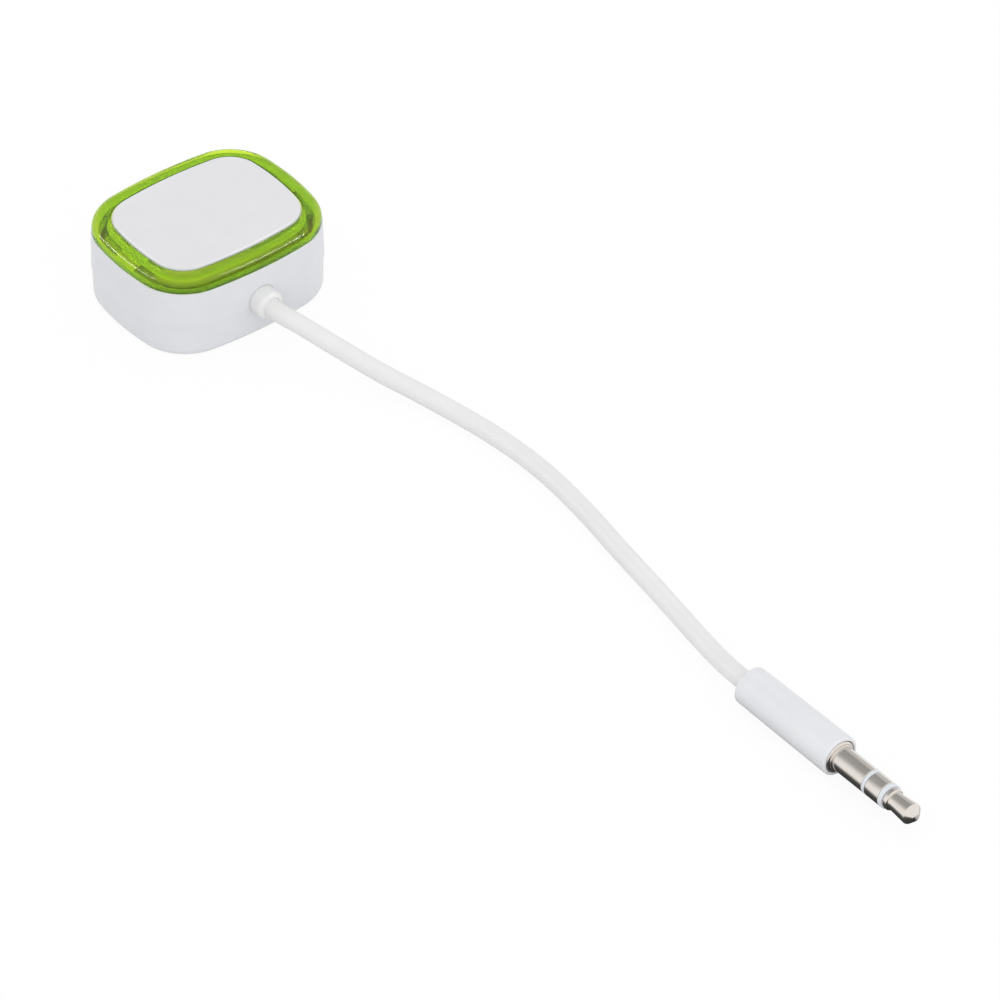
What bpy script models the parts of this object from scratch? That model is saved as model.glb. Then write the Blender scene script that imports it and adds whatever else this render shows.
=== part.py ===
"""Bluetooth audio receiver with a captive cord and a 3.5 mm stereo plug.

The case is two white shells, a translucent light ring and a press cap. Inside are the circuit
board with the switch under the cap, the charging socket, and the cell below the board.
The origin is the centre of the base, +Z is up and the cord leaves the -Y face. All sizes are
in metres.
"""

import math

import bmesh
import bpy

# Case outline at the joint of the two shells: four long arcs joined by four corner arcs.
CASE_LENGTH = 0.0303
CASE_WIDTH = 0.0252
CORNER_RADIUS = 0.0080
SHORT_SIDE_RADIUS = 0.0390
LONG_SIDE_RADIUS = 0.0650

# Heights of the case, from the base up.
COVER_HEIGHT = 0.0052
SHELL_HEIGHT = 0.0057
RING_HEIGHT = 0.0020
CAP_STAND = 0.00035

# Shell walls.
WALL = 0.0015
FLOOR = 0.0012
SHELL_DRAFT = 0.00015
SHELL_EDGE = 0.00015
COVER_STEP = 0.00011
COVER_DRAFT = 0.00013
BASE_ROUND = 0.0010
TONGUE_THICKNESS = 0.0006
TONGUE_HEIGHT = 0.0009
SHELF_THICKNESS = 0.0006
SHELF_REACH = 0.0014
WINDOW_LENGTH = 0.0044
KEY_LENGTH = 0.0040

# Light ring.
RING_INSET = 0.00025
RING_EDGE_RADIUS = 0.0015
RING_BORE_EDGE = 0.0001
SKIRT_THICKNESS = 0.0007
LIP_REACH = 0.00059
LIP_RISE = 0.0005

# Press cap.
CAP_GAP = 0.00012
CAP_WALL = 0.0010
CAP_TOP_THICKNESS = 0.0012
CAP_EDGE_RADIUS = 0.0004
CAP_FLANGE_THICKNESS = 0.0006
POST_RADIUS = 0.0016
POST_LENGTH = 0.0009
BUTTON_TRAVEL = 0.0003
TRAVEL_MARGIN = 0.0004

# Clearances between pieces that are fixed to each other.
FIT_GAP = 0.0001
REST_GAP = 0.00005

# Cell and its tape, on the floor of the case.
TAPE_THICKNESS = 0.00025
CELL_THICKNESS = 0.0034
CELL_SIDE_GAP = 0.0009
CELL_BACK_GAP = 0.0020
CELL_EDGE_ROUND = 0.0006
TAPE_EDGE = 0.0010
LEAD_ROOM = 0.0024
LEAD_RADIUS = 0.00035
LEAD_SPREAD = 0.0024

# Circuit board on the posts of the bottom cover.
BOARD_RISE = 0.0010
BOARD_THICKNESS = 0.0008
BOARD_MARGIN = 0.0006
NOTCH_GAP = 0.0008
POST_EDGE = 0.0040
POST_SPACING = 0.0078
BOARD_POST_RADIUS = 0.0014
SCREW_RADIUS = 0.0007
SCREW_DEPTH = 0.0032
SCREW_HEAD_RADIUS = 0.0014
SCREW_HEAD_HEIGHT = 0.0008
SCREW_HEAD_TOP = 0.0011
SCREW_SLOT_WIDTH = 0.0004
SCREW_SLOT_DEPTH = 0.0004

# Components on the board.
COMPONENT_GAP = 0.0010
CHIP_SIZE = 0.0040
CHIP_HEIGHT = 0.0009
CHIP_SHIFT = 0.0016
CRYSTAL_LENGTH = 0.0032
CRYSTAL_WIDTH = 0.0020
CRYSTAL_HEIGHT = 0.0008
ANTENNA_LENGTH = 0.0066
ANTENNA_WIDTH = 0.0017
ANTENNA_HEIGHT = 0.0012
ANTENNA_EDGE = 0.0009
CHARGER_LENGTH = 0.0029
CHARGER_WIDTH = 0.0016
CHARGER_HEIGHT = 0.0011
INDUCTOR_SIZE = 0.0038
INDUCTOR_HEIGHT = 0.0018
INDUCTOR_SHIFT = 0.0019
CAPACITOR_LENGTH = 0.0030
CAPACITOR_WIDTH = 0.0016
CAPACITOR_HEIGHT = 0.0016
LAMP_LENGTH = 0.0016
LAMP_WIDTH = 0.0010
LAMP_HEIGHT = 0.0007
LAMP_EDGE = 0.0012

# Switch under the cap.
SWITCH_SIZE = 0.0060
PLUNGER_RADIUS = 0.00175
PLUNGER_STAND = 0.0008
PLUNGER_DEPTH = 0.0009
PLUNGER_GAP = 0.0001

# Charging socket in the back wall.
SOCKET_WIDTH = 0.0075
SOCKET_HEIGHT = 0.0025
SOCKET_DEPTH = 0.0052
SOCKET_SHEET = 0.0003
SOCKET_CHAMFER = 0.0008
SOCKET_RECESS = 0.0003
SOCKET_OPENING_GAP = 0.00025
TONGUE_WIDTH = 0.0038
TONGUE_SHEET = 0.0006
TONGUE_LENGTH = 0.0030
TONGUE_BASE = 0.0010

# Cord and the boot that holds it in the front wall.
CORD_DIAMETER = 0.0027
CORD_FIT = 0.0001
BOOT_RISE = 0.00065
BOOT_DIAMETER = 0.0043
BOOT_REACH = 0.0022
BOOT_EDGE = 0.0004
BOOT_FLANGE = 0.0007
BOOT_FLANGE_THICKNESS = 0.0010
BOOT_SOCKET = 0.0010
AUDIO_LEAD_RADIUS = 0.0003
AUDIO_LEAD_SPACING = 0.0014
AUDIO_LEAD_LIFT = 0.0008
AUDIO_LEAD_RUN = 0.0016

# Plug. Its pieces are turned about one axis, and lengths run from the front face of the grip.
PLUG_X = 0.0045
PLUG_BACK = -0.1122
PLUG_YAW = math.radians(1.0)
GRIP_LENGTH = 0.0179
GRIP_BACK_DIAMETER = 0.0055
GRIP_LIP = 0.000425
GRIP_EDGE = 0.00037
GRIP_SOCKET = 0.0015
FLOOR_GAP = 0.00003
PIN_DIAMETER = 0.0035
SHOULDER_RIM = 0.0006
SHOULDER_THICKNESS = 0.0010
SHOULDER_EDGE = 0.0002
SHOULDER_STAND = 0.00015
TAIL_STEP = 0.00035
TAIL_LENGTH = 0.0040
SLEEVE_LENGTH = 0.0060
REAR_BAND = 0.0006
RING_BAND = 0.0025
FRONT_BAND = 0.0008
TIP_LENGTH = 0.0048
TIP_FLANGE_DIAMETER = 0.0033
TIP_FLANGE_LENGTH = 0.0005
TIP_NECK_DIAMETER = 0.0026
TIP_NECK_LENGTH = 0.0004
TIP_HEAD_DIAMETER = 0.00305
TIP_CONE_LENGTH = 0.0012
TIP_END_DIAMETER = 0.0010
PIN_EDGE = 0.0001
ROD_RADIUS = 0.00040
TUBE_WALL = 0.00018
TUBE_FIT = 0.00006
TUBE_STEP = 0.0008

# Facets of the round shapes.
CORNER_STEPS = 8
SIDE_STEPS = 4
ROUND_STEPS = 4
TURNED_SIDES = 24
PEG_SIDES = 16

# Route of the cord from the boot to the plug: x, y and the lift above where it lies on the floor.
CORD_ROUTE = [
    (0.00095, -0.0204, 0.00425),
    (0.0019, -0.0232, 0.00365),
    (0.0031, -0.0260, 0.0028),
    (0.00525, -0.0321, 0.00155),
    (0.00745, -0.0382, 0.0007),
    (0.00925, -0.0447, 0.0002),
    (0.0105, -0.0518, 0.00005),
    (0.0110, -0.0597, 0.0),
    (0.0104, -0.0694, 0.0),
    (0.0090, -0.0796, 0.0),
    (0.0077, -0.0897, 0.0),
    (0.0061, -0.0997, 0.0003),
    (0.0051, -0.1057, 0.0008),
]

# Heights that follow from the sizes.
SEAM = COVER_HEIGHT + SHELL_HEIGHT
BOOT_HEIGHT = COVER_HEIGHT + BOOT_RISE
RING_TOP = SEAM + RING_HEIGHT
CAP_TOP = RING_TOP + CAP_STAND
LIP_UNDER = SEAM + LIP_RISE
FLANGE_TOP = LIP_UNDER - CAP_GAP
FLANGE_BOTTOM = FLANGE_TOP - CAP_FLANGE_THICKNESS
SHELF_TOP = FLANGE_BOTTOM - BUTTON_TRAVEL - TRAVEL_MARGIN
CAP_CEILING = CAP_TOP - CAP_TOP_THICKNESS
CELL_BOTTOM = FLOOR + TAPE_THICKNESS + 2 * REST_GAP
CELL_TOP = CELL_BOTTOM + CELL_THICKNESS
BOARD_BOTTOM = CELL_TOP + BOARD_RISE
BOARD_TOP = BOARD_BOTTOM + BOARD_THICKNESS
ON_BOARD = BOARD_TOP + REST_GAP
PLUNGER_TOP = CAP_CEILING - POST_LENGTH - REST_GAP
SWITCH_TOP = PLUNGER_TOP - PLUNGER_STAND

# Insets from the case outline that follow from the sizes.
SKIRT_OUTER = WALL + FIT_GAP
SKIRT_INNER = SKIRT_OUTER + SKIRT_THICKNESS
RING_BORE = SKIRT_INNER + LIP_REACH
CAP_INSET = RING_BORE + CAP_GAP
FLANGE_INSET = SKIRT_INNER + CAP_GAP
BOARD_INSET = WALL + BOARD_MARGIN

# Positions in plan that follow from the sizes.
FRONT = -CASE_WIDTH / 2
BACK = CASE_WIDTH / 2
BOOT_FLANGE_RADIUS = BOOT_DIAMETER / 2 + BOOT_FLANGE
WALL_BEND = LONG_SIDE_RADIUS - WALL
WALL_BOW = WALL_BEND - math.sqrt(WALL_BEND**2 - BOOT_FLANGE_RADIUS**2)
BOOT_SEAT = FRONT + WALL + WALL_BOW + FIT_GAP
BOOT_REAR = BOOT_SEAT + BOOT_FLANGE_THICKNESS
NOTCH_Y = BOOT_REAR + NOTCH_GAP
POST_X = CASE_LENGTH / 2 - WALL - POST_EDGE
POST_Y = POST_SPACING / 2
BOARD_END = CASE_LENGTH / 2 - BOARD_INSET
SOCKET_FRONT = BACK - SOCKET_RECESS
SHOULDER_RADIUS = PIN_DIAMETER / 2 + SHOULDER_RIM
GRIP_RADIUS = SHOULDER_RADIUS + FIT_GAP + GRIP_LIP
PLUG_Z = max(GRIP_BACK_DIAMETER / 2, GRIP_RADIUS) + FLOOR_GAP
CORD_START = FRONT - BOOT_REACH + BOOT_SOCKET - REST_GAP

# Colour, roughness and metallic value of each material.
WHITE = ((0.78, 0.79, 0.81), 0.45, 0.0)
CORD_WHITE = ((0.82, 0.82, 0.82), 0.55, 0.0)
LIME = ((0.30, 0.52, 0.02), 0.12, 0.0)
NICKEL = ((0.66, 0.63, 0.58), 0.18, 1.0)
STEEL = ((0.55, 0.56, 0.58), 0.30, 1.0)
BOARD_GREEN = ((0.02, 0.17, 0.07), 0.45, 0.0)
CHIP_BLACK = ((0.02, 0.02, 0.02), 0.55, 0.0)
FERRITE = ((0.06, 0.06, 0.065), 0.70, 0.0)
CERAMIC = ((0.72, 0.70, 0.62), 0.50, 0.0)
TAN = ((0.42, 0.28, 0.14), 0.50, 0.0)
LAMP_WHITE = ((0.85, 0.82, 0.55), 0.35, 0.0)
FOIL = ((0.62, 0.63, 0.65), 0.32, 0.8)
TAPE_GREY = ((0.30, 0.31, 0.32), 0.80, 0.0)
RED = ((0.55, 0.02, 0.02), 0.50, 0.0)
BLACK = ((0.02, 0.02, 0.02), 0.50, 0.0)
COPPER = ((0.72, 0.36, 0.18), 0.35, 1.0)
INSULATOR = ((0.84, 0.86, 0.90), 0.40, 0.0)


def clear_scene():
    """Removes every object, so that the model starts from an empty scene."""
    for item in list(bpy.data.objects):
        bpy.data.objects.remove(item, do_unlink=True)


def material(name, look):
    """A Principled material from a colour, a roughness and a metallic value."""
    colour, roughness, metallic = look
    made = bpy.data.materials.new(name)
    made.use_nodes = True
    shader = made.node_tree.nodes["Principled BSDF"]
    shader.inputs["Base Color"].default_value = (*colour, 1.0)
    shader.inputs["Roughness"].default_value = roughness
    shader.inputs["Metallic"].default_value = metallic
    made.diffuse_color = (*colour, 1.0)
    return made


def empty(name, location=(0, 0, 0), rotation=(0, 0, 0)):
    """An empty that carries the pieces of one group."""
    made = bpy.data.objects.new(name, None)
    made.location = location
    made.rotation_euler = rotation
    bpy.context.collection.objects.link(made)
    return made


def piece(name, bm, look, parent=None, location=(0, 0, 0), rotation=(0, 0, 0), smooth=30):
    """An object from a bmesh, with its own material and smooth round faces."""
    bmesh.ops.recalc_face_normals(bm, faces=bm.faces[:])
    if bm.calc_volume(signed=True) < 0:
        bmesh.ops.reverse_faces(bm, faces=bm.faces[:])
    mesh = bpy.data.meshes.new(name)
    bm.to_mesh(mesh)
    bm.free()
    mesh.shade_smooth()
    mesh.set_sharp_from_angle(angle=math.radians(smooth))
    made = bpy.data.objects.new(name, mesh)
    made.location = location
    made.rotation_euler = rotation
    made.parent = parent
    if look:
        mesh.materials.append(material(name, look))
    bpy.context.collection.objects.link(made)
    return made


def cutter(name, bm, parent=None, location=(0, 0, 0), rotation=(0, 0, 0)):
    """A tool body that only takes part in Boolean operations."""
    made = piece(name, bm, None, parent, location, rotation)
    made.hide_render = True
    made.display_type = "WIRE"
    return made


def combine(target, tool, operation):
    """Adds a Boolean modifier to target."""
    step = target.modifiers.new(tool.name, "BOOLEAN")
    step.operation = operation
    step.object = tool
    step.solver = "EXACT"


def corner_centre():
    """Centre of the corner arc in the +X +Y quarter, tangent inside both side arcs."""
    short_x = CASE_LENGTH / 2 - SHORT_SIDE_RADIUS
    long_y = CASE_WIDTH / 2 - LONG_SIDE_RADIUS
    to_short = SHORT_SIDE_RADIUS - CORNER_RADIUS
    to_long = LONG_SIDE_RADIUS - CORNER_RADIUS
    span = math.hypot(short_x, long_y)
    along = (to_short**2 - to_long**2 + span**2) / (2 * span)
    off = math.sqrt(to_short**2 - along**2)
    unit_x = -short_x / span
    unit_y = long_y / span
    return short_x + along * unit_x - off * unit_y, along * unit_y + off * unit_x


def outline(inset):
    """Points of the case outline, moved in by inset, anticlockwise from +X."""
    cx, cy = corner_centre()
    short_x = CASE_LENGTH / 2 - SHORT_SIDE_RADIUS
    long_y = CASE_WIDTH / 2 - LONG_SIDE_RADIUS
    a = math.atan2(cy, cx - short_x)
    b = math.atan2(cy - long_y, cx)
    pi = math.pi
    arcs = [
        (short_x, 0, SHORT_SIDE_RADIUS, -a, a, SIDE_STEPS),
        (cx, cy, CORNER_RADIUS, a, b, CORNER_STEPS),
        (0, long_y, LONG_SIDE_RADIUS, b, pi - b, SIDE_STEPS),
        (-cx, cy, CORNER_RADIUS, pi - b, pi - a, CORNER_STEPS),
        (-short_x, 0, SHORT_SIDE_RADIUS, pi - a, pi + a, SIDE_STEPS),
        (-cx, -cy, CORNER_RADIUS, pi + a, pi + b, CORNER_STEPS),
        (0, -long_y, LONG_SIDE_RADIUS, pi + b, 2 * pi - b, SIDE_STEPS),
        (cx, -cy, CORNER_RADIUS, 2 * pi - b, 2 * pi - a, CORNER_STEPS),
    ]
    points = []
    for x, y, radius, start, end, steps in arcs:
        for step in range(steps):
            angle = start + (end - start) * step / steps
            reach = radius - inset
            points.append((x + reach * math.cos(angle), y + reach * math.sin(angle)))
    return points


def circle(radius, sides=TURNED_SIDES):
    """Points of a circle about the local Z axis."""
    turn = 2 * math.pi / sides
    return [(radius * math.cos(i * turn), radius * math.sin(i * turn)) for i in range(sides)]


def skin(loops, closed=False):
    """A body through loops of points at given heights.

    A closed body joins its last loop to its first, as a ring does. Otherwise both ends are faces.
    """
    bm = bmesh.new()
    rings = [[bm.verts.new((x, y, z)) for x, y in points] for points, z in loops]
    pairs = list(zip(rings, rings[1:]))
    if closed:
        pairs.append((rings[-1], rings[0]))
    else:
        bm.faces.new(rings[0])
        bm.faces.new(rings[-1])
    for low, high in pairs:
        for i in range(len(low)):
            bm.faces.new((low[i - 1], low[i], high[i], high[i - 1]))
    return bm


def case_body(sections, closed=False):
    """A body that follows the case outline, from (inset, height) sections."""
    return skin([(outline(inset), z) for inset, z in sections], closed)


def turned(sections, closed=False, sides=TURNED_SIDES):
    """A turned body about local Z, from (radius, height) sections."""
    return skin([(circle(radius, sides), z) for radius, z in sections], closed)


def quarter(steps=ROUND_STEPS):
    """Sine and cosine pairs of a quarter round, from its start to its end."""
    angles = [math.pi / 2 * i / steps for i in range(steps + 1)]
    return [(math.sin(angle), math.cos(angle)) for angle in angles]


def block(length, width, height, base=0.0, round_edges=0.0):
    """A block centred in plan that stands on its base, with its upright edges rounded."""
    bm = bmesh.new()
    bmesh.ops.create_cube(bm, size=1.0)
    bmesh.ops.translate(bm, vec=(0, 0, 0.5), verts=bm.verts[:])
    bmesh.ops.scale(bm, vec=(length, width, height), verts=bm.verts[:])
    bmesh.ops.translate(bm, vec=(0, 0, base), verts=bm.verts[:])
    if round_edges:
        upright = [edge for edge in bm.edges if edge.verts[0].co.z != edge.verts[1].co.z]
        bmesh.ops.bevel(
            bm, geom=upright, offset=round_edges, segments=2, profile=0.5, affect="EDGES"
        )
    return bm


def peg(radius, low, high, sides=PEG_SIDES):
    """A round peg about local Z between two heights."""
    return turned([(radius, low), (radius, high)], sides=sides)


def smooth_path(points, spacing):
    """Points about one spacing apart on a smooth curve through the given points."""
    ends = [points[0], *points, points[-1]]
    path = []
    for p, q, r, s in zip(ends, ends[1:], ends[2:], ends[3:]):
        count = max(1, round(math.dist(q, r) / spacing))
        for step in range(count):
            t = step / count
            path.append(
                tuple(
                    0.5
                    * (
                        2 * b
                        + (c - a) * t
                        + (2 * a - 5 * b + 4 * c - d) * t**2
                        + (3 * b - a - 3 * c + d) * t**3
                    )
                    for a, b, c, d in zip(p, q, r, s)
                )
            )
    path.append(points[-1])
    return path


def cable(name, points, radius, look, spacing, parent=None, resolution=2):
    """A round cable along a smooth route."""
    curve = bpy.data.curves.new(name, "CURVE")
    curve.dimensions = "3D"
    curve.bevel_depth = radius
    curve.bevel_resolution = resolution
    curve.use_fill_caps = True
    path = smooth_path(points, spacing)
    line = curve.splines.new("POLY")
    line.points.add(len(path) - 1)
    for place, (x, y, z) in zip(line.points, path):
        place.co = (x, y, z, 1.0)
    curve.materials.append(material(name, look))
    made = bpy.data.objects.new(name, curve)
    made.parent = parent
    bpy.context.collection.objects.link(made)
    return made


def make_bottom_cover(case):
    """Lower shell with its floor, joint tongue, board posts and the lower part of the cord hole."""
    foot = COVER_STEP + COVER_DRAFT
    sections = [(foot + BASE_ROUND * (1 - s), BASE_ROUND * (1 - c)) for s, c in quarter()]
    tongue_top = COVER_HEIGHT + TONGUE_HEIGHT
    sections += [
        (COVER_STEP, COVER_HEIGHT),
        (WALL - TONGUE_THICKNESS, COVER_HEIGHT),
        (WALL - TONGUE_THICKNESS, tongue_top),
        (WALL, tongue_top),
        (WALL, FLOOR),
    ]
    cover = piece("bottom_cover", case_body(sections), WHITE, case)
    for side in (-1, 1):
        for end in (-1, 1):
            post = cutter(
                f"board_post_{side}_{end}",
                peg(BOARD_POST_RADIUS, FLOOR / 2, BOARD_BOTTOM - REST_GAP),
                case,
                (side * POST_X, end * POST_Y, 0),
            )
            combine(cover, post, "UNION")
    return cover


def make_upper_shell(case):
    """Upper shell: a wall with a rebate for the tongue and a shelf under the light ring."""
    low = COVER_HEIGHT + REST_GAP
    rebate = WALL - TONGUE_THICKNESS - FIT_GAP
    rebate_top = COVER_HEIGHT + TONGUE_HEIGHT + FIT_GAP
    shelf_inset = WALL + SHELF_REACH
    sections = [
        (0, low),
        (SHELL_DRAFT, SEAM - SHELL_EDGE),
        (SHELL_DRAFT + SHELL_EDGE, SEAM),
        (WALL, SEAM),
        (WALL, SHELF_TOP),
        (shelf_inset, SHELF_TOP),
        (shelf_inset, SHELF_TOP - SHELF_THICKNESS),
        (WALL, SHELF_TOP - SHELF_THICKNESS),
        (WALL, rebate_top),
        (rebate, rebate_top),
        (rebate, low),
    ]
    shell = piece("upper_shell", case_body(sections, closed=True), WHITE, case)
    cut_lamp_windows(case, shell)
    for side in (-1, 1):
        key = key_tool(f"ring_key_{side}", case, side, SKIRT_INNER, KEY_LENGTH, SEAM - FIT_GAP)
        combine(shell, key, "UNION")
    return shell


def cut_lamp_windows(case, shell):
    """Windows in the corners of the shelf, where the lamps shine up into the ring."""
    cx, cy = corner_centre()
    wall_radius = CORNER_RADIUS - WALL
    end = math.sqrt(wall_radius**2 - (WINDOW_LENGTH / 2) ** 2) - FIT_GAP
    middle = (end - SHELF_REACH) / math.sqrt(2)
    for x_sign in (-1, 1):
        for y_sign in (-1, 1):
            window = cutter(
                f"lamp_window_{x_sign}_{y_sign}",
                block(2 * SHELF_REACH, WINDOW_LENGTH, 3 * SHELF_THICKNESS),
                case,
                (
                    x_sign * (cx + middle),
                    y_sign * (cy + middle),
                    SHELF_TOP - 2 * SHELF_THICKNESS,
                ),
                (0, 0, x_sign * y_sign * math.pi / 4),
            )
            combine(shell, window, "DIFFERENCE")


def key_tool(name, case, side, inner, length, top):
    """A block on a short side, from inside the wall to an inset, that keys the ring to the shell."""
    outer = WALL / 2
    base = SHELF_TOP - SHELF_THICKNESS / 2
    middle = side * (CASE_LENGTH / 2 - (inner + outer) / 2)
    return cutter(name, block(inner - outer, length, top - base, base), case, (middle, 0, 0))


def make_light_ring(case):
    """Translucent ring: a round shoulder outside, a lip over the cap and a skirt in the shell."""
    base = SEAM + REST_GAP
    sections = [(RING_INSET, base)]
    for s, c in quarter():
        sections.append(
            (RING_INSET + RING_EDGE_RADIUS * (1 - c), RING_TOP - RING_EDGE_RADIUS * (1 - s))
        )
    sections += [
        (RING_BORE - RING_BORE_EDGE, RING_TOP),
        (RING_BORE, RING_TOP - RING_BORE_EDGE),
        (RING_BORE, LIP_UNDER),
        (SKIRT_INNER, LIP_UNDER),
        (SKIRT_INNER, SHELF_TOP + REST_GAP),
        (SKIRT_OUTER, SHELF_TOP + REST_GAP),
        (SKIRT_OUTER, base),
    ]
    ring = piece("light_ring", case_body(sections, closed=True), LIME, case)
    for side in (-1, 1):
        notch = key_tool(
            f"ring_notch_{side}", case, side, RING_BORE, KEY_LENGTH + 2 * FIT_GAP, SEAM
        )
        combine(ring, notch, "DIFFERENCE")
    return ring


def make_button_cap(case):
    """Press cap with a flange under the ring's lip and a post over the switch."""
    hollow = CAP_INSET + CAP_WALL
    sections = [
        (hollow, CAP_CEILING),
        (hollow, FLANGE_BOTTOM),
        (FLANGE_INSET, FLANGE_BOTTOM),
        (FLANGE_INSET, FLANGE_TOP),
        (CAP_INSET, FLANGE_TOP),
    ]
    for s, c in quarter():
        sections.append(
            (CAP_INSET + CAP_EDGE_RADIUS * (1 - c), CAP_TOP - CAP_EDGE_RADIUS * (1 - s))
        )
    cap = piece("button_cap", case_body(sections), WHITE, case)
    post = cutter(
        "cap_post", peg(POST_RADIUS, PLUNGER_TOP + REST_GAP, CAP_TOP - CAP_TOP_THICKNESS / 2), case
    )
    combine(cap, post, "UNION")


def make_board(case, cover):
    """Circuit board with a notch for the boot, and the two screws that hold it."""
    board = piece(
        "main_board",
        case_body([(BOARD_INSET, BOARD_BOTTOM), (BOARD_INSET, BOARD_TOP)]),
        BOARD_GREEN,
        case,
    )
    half_notch = BOOT_FLANGE_RADIUS + NOTCH_GAP
    notch = cutter(
        "board_notch",
        block(2 * half_notch, 2 * (NOTCH_Y - FRONT), 3 * BOARD_THICKNESS, -BOARD_THICKNESS),
        case,
        (0, FRONT, BOARD_BOTTOM),
    )
    combine(board, notch, "DIFFERENCE")
    depth = min(SCREW_DEPTH, BOARD_BOTTOM - FLOOR)
    for name, side in (("left", -1), ("right", 1)):
        place = (side * POST_X, -side * POST_Y, BOARD_TOP)
        hole = cutter(
            f"screw_hole_{name}",
            peg(SCREW_RADIUS + FIT_GAP, -BOARD_THICKNESS - depth - FIT_GAP, FIT_GAP),
            case,
            place,
        )
        combine(board, hole, "DIFFERENCE")
        combine(cover, hole, "DIFFERENCE")
        screw = piece(
            f"board_screw_{name}",
            turned(
                [
                    (SCREW_RADIUS / 2, -BOARD_THICKNESS - depth),
                    (SCREW_RADIUS, -BOARD_THICKNESS - depth + SCREW_RADIUS),
                    (SCREW_RADIUS, REST_GAP),
                    (SCREW_HEAD_RADIUS, REST_GAP),
                    (SCREW_HEAD_RADIUS, SCREW_HEAD_HEIGHT / 2),
                    (SCREW_HEAD_TOP, SCREW_HEAD_HEIGHT),
                ],
                sides=PEG_SIDES,
            ),
            STEEL,
            case,
            place,
        )
        slot = cutter(
            f"screw_slot_{name}",
            block(
                3 * SCREW_HEAD_RADIUS,
                SCREW_SLOT_WIDTH,
                2 * SCREW_SLOT_DEPTH,
                SCREW_HEAD_HEIGHT - SCREW_SLOT_DEPTH,
            ),
            case,
            place,
        )
        combine(screw, slot, "DIFFERENCE")


def make_components(case):
    """Chips, passives and lamps on top of the board, placed from the switch and the board's ends."""
    switch_side = SWITCH_SIZE / 2
    antenna_x = -BOARD_END + ANTENNA_EDGE + ANTENNA_WIDTH / 2
    chip_x = (antenna_x + ANTENNA_WIDTH / 2 - switch_side) / 2
    crystal_y = -CHIP_SHIFT - CHIP_SIZE / 2 - COMPONENT_GAP - CRYSTAL_WIDTH / 2
    inductor_x = (switch_side + BOARD_END) / 2
    charger_y = INDUCTOR_SHIFT + INDUCTOR_SIZE / 2 + COMPONENT_GAP + CHARGER_WIDTH / 2
    capacitor_x = (switch_side + POST_X - SCREW_HEAD_RADIUS) / 2
    pair_y = (INDUCTOR_SHIFT - INDUCTOR_SIZE / 2 + FRONT + BOARD_INSET) / 2
    pair_step = (CAPACITOR_LENGTH + COMPONENT_GAP / 2) / 2
    parts = [
        ("bluetooth_chip", CHIP_SIZE, CHIP_SIZE, CHIP_HEIGHT, chip_x, -CHIP_SHIFT, CHIP_BLACK),
        ("clock_crystal", CRYSTAL_LENGTH, CRYSTAL_WIDTH, CRYSTAL_HEIGHT, chip_x, crystal_y, STEEL),
        (
            "chip_antenna",
            ANTENNA_WIDTH,
            ANTENNA_LENGTH,
            ANTENNA_HEIGHT,
            antenna_x,
            -CHIP_SHIFT,
            CERAMIC,
        ),
        (
            "power_inductor",
            INDUCTOR_SIZE,
            INDUCTOR_SIZE,
            INDUCTOR_HEIGHT,
            inductor_x,
            INDUCTOR_SHIFT,
            FERRITE,
        ),
        (
            "charger_chip",
            CHARGER_LENGTH,
            CHARGER_WIDTH,
            CHARGER_HEIGHT,
            inductor_x,
            charger_y,
            CHIP_BLACK,
        ),
        (
            "coupling_capacitor_left",
            CAPACITOR_WIDTH,
            CAPACITOR_LENGTH,
            CAPACITOR_HEIGHT,
            capacitor_x,
            pair_y + pair_step,
            TAN,
        ),
        (
            "coupling_capacitor_right",
            CAPACITOR_WIDTH,
            CAPACITOR_LENGTH,
            CAPACITOR_HEIGHT,
            capacitor_x,
            pair_y - pair_step,
            TAN,
        ),
    ]
    for name, length, width, height, x, y, look in parts:
        piece(name, block(length, width, height), look, case, (x, y, ON_BOARD))
    cx, cy = corner_centre()
    reach = (CORNER_RADIUS - BOARD_INSET - LAMP_EDGE) / math.sqrt(2)
    for front, y_sign in (("front", -1), ("back", 1)):
        for side, x_sign in (("left", -1), ("right", 1)):
            piece(
                f"lamp_{front}_{side}",
                block(LAMP_LENGTH, LAMP_WIDTH, LAMP_HEIGHT),
                LAMP_WHITE,
                case,
                (x_sign * (cx + reach), y_sign * (cy + reach), ON_BOARD),
                (0, 0, -x_sign * y_sign * math.pi / 4),
            )


def make_switch(case):
    """Push switch on the board: a body with a well and the plunger that slides in it."""
    body = piece(
        "switch_body",
        block(SWITCH_SIZE, SWITCH_SIZE, SWITCH_TOP - ON_BOARD, ON_BOARD),
        CHIP_BLACK,
        case,
    )
    floor = SWITCH_TOP - PLUNGER_DEPTH
    well = cutter(
        "switch_well",
        peg(PLUNGER_RADIUS + PLUNGER_GAP, floor - BUTTON_TRAVEL - TRAVEL_MARGIN / 2, PLUNGER_TOP),
        case,
    )
    combine(body, well, "DIFFERENCE")
    piece("switch_plunger", peg(PLUNGER_RADIUS, floor, PLUNGER_TOP), BLACK, case)


def socket_outline(grow):
    """Points of the charging socket's section, wider at the top, grown by a clearance."""
    half = SOCKET_WIDTH / 2 + grow
    low = -grow
    high = SOCKET_HEIGHT + grow
    cut = SOCKET_CHAMFER
    return [
        (half, high),
        (-half, high),
        (-half, low + cut),
        (-half + cut, low),
        (half - cut, low),
        (half, low + cut),
    ]


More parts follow.
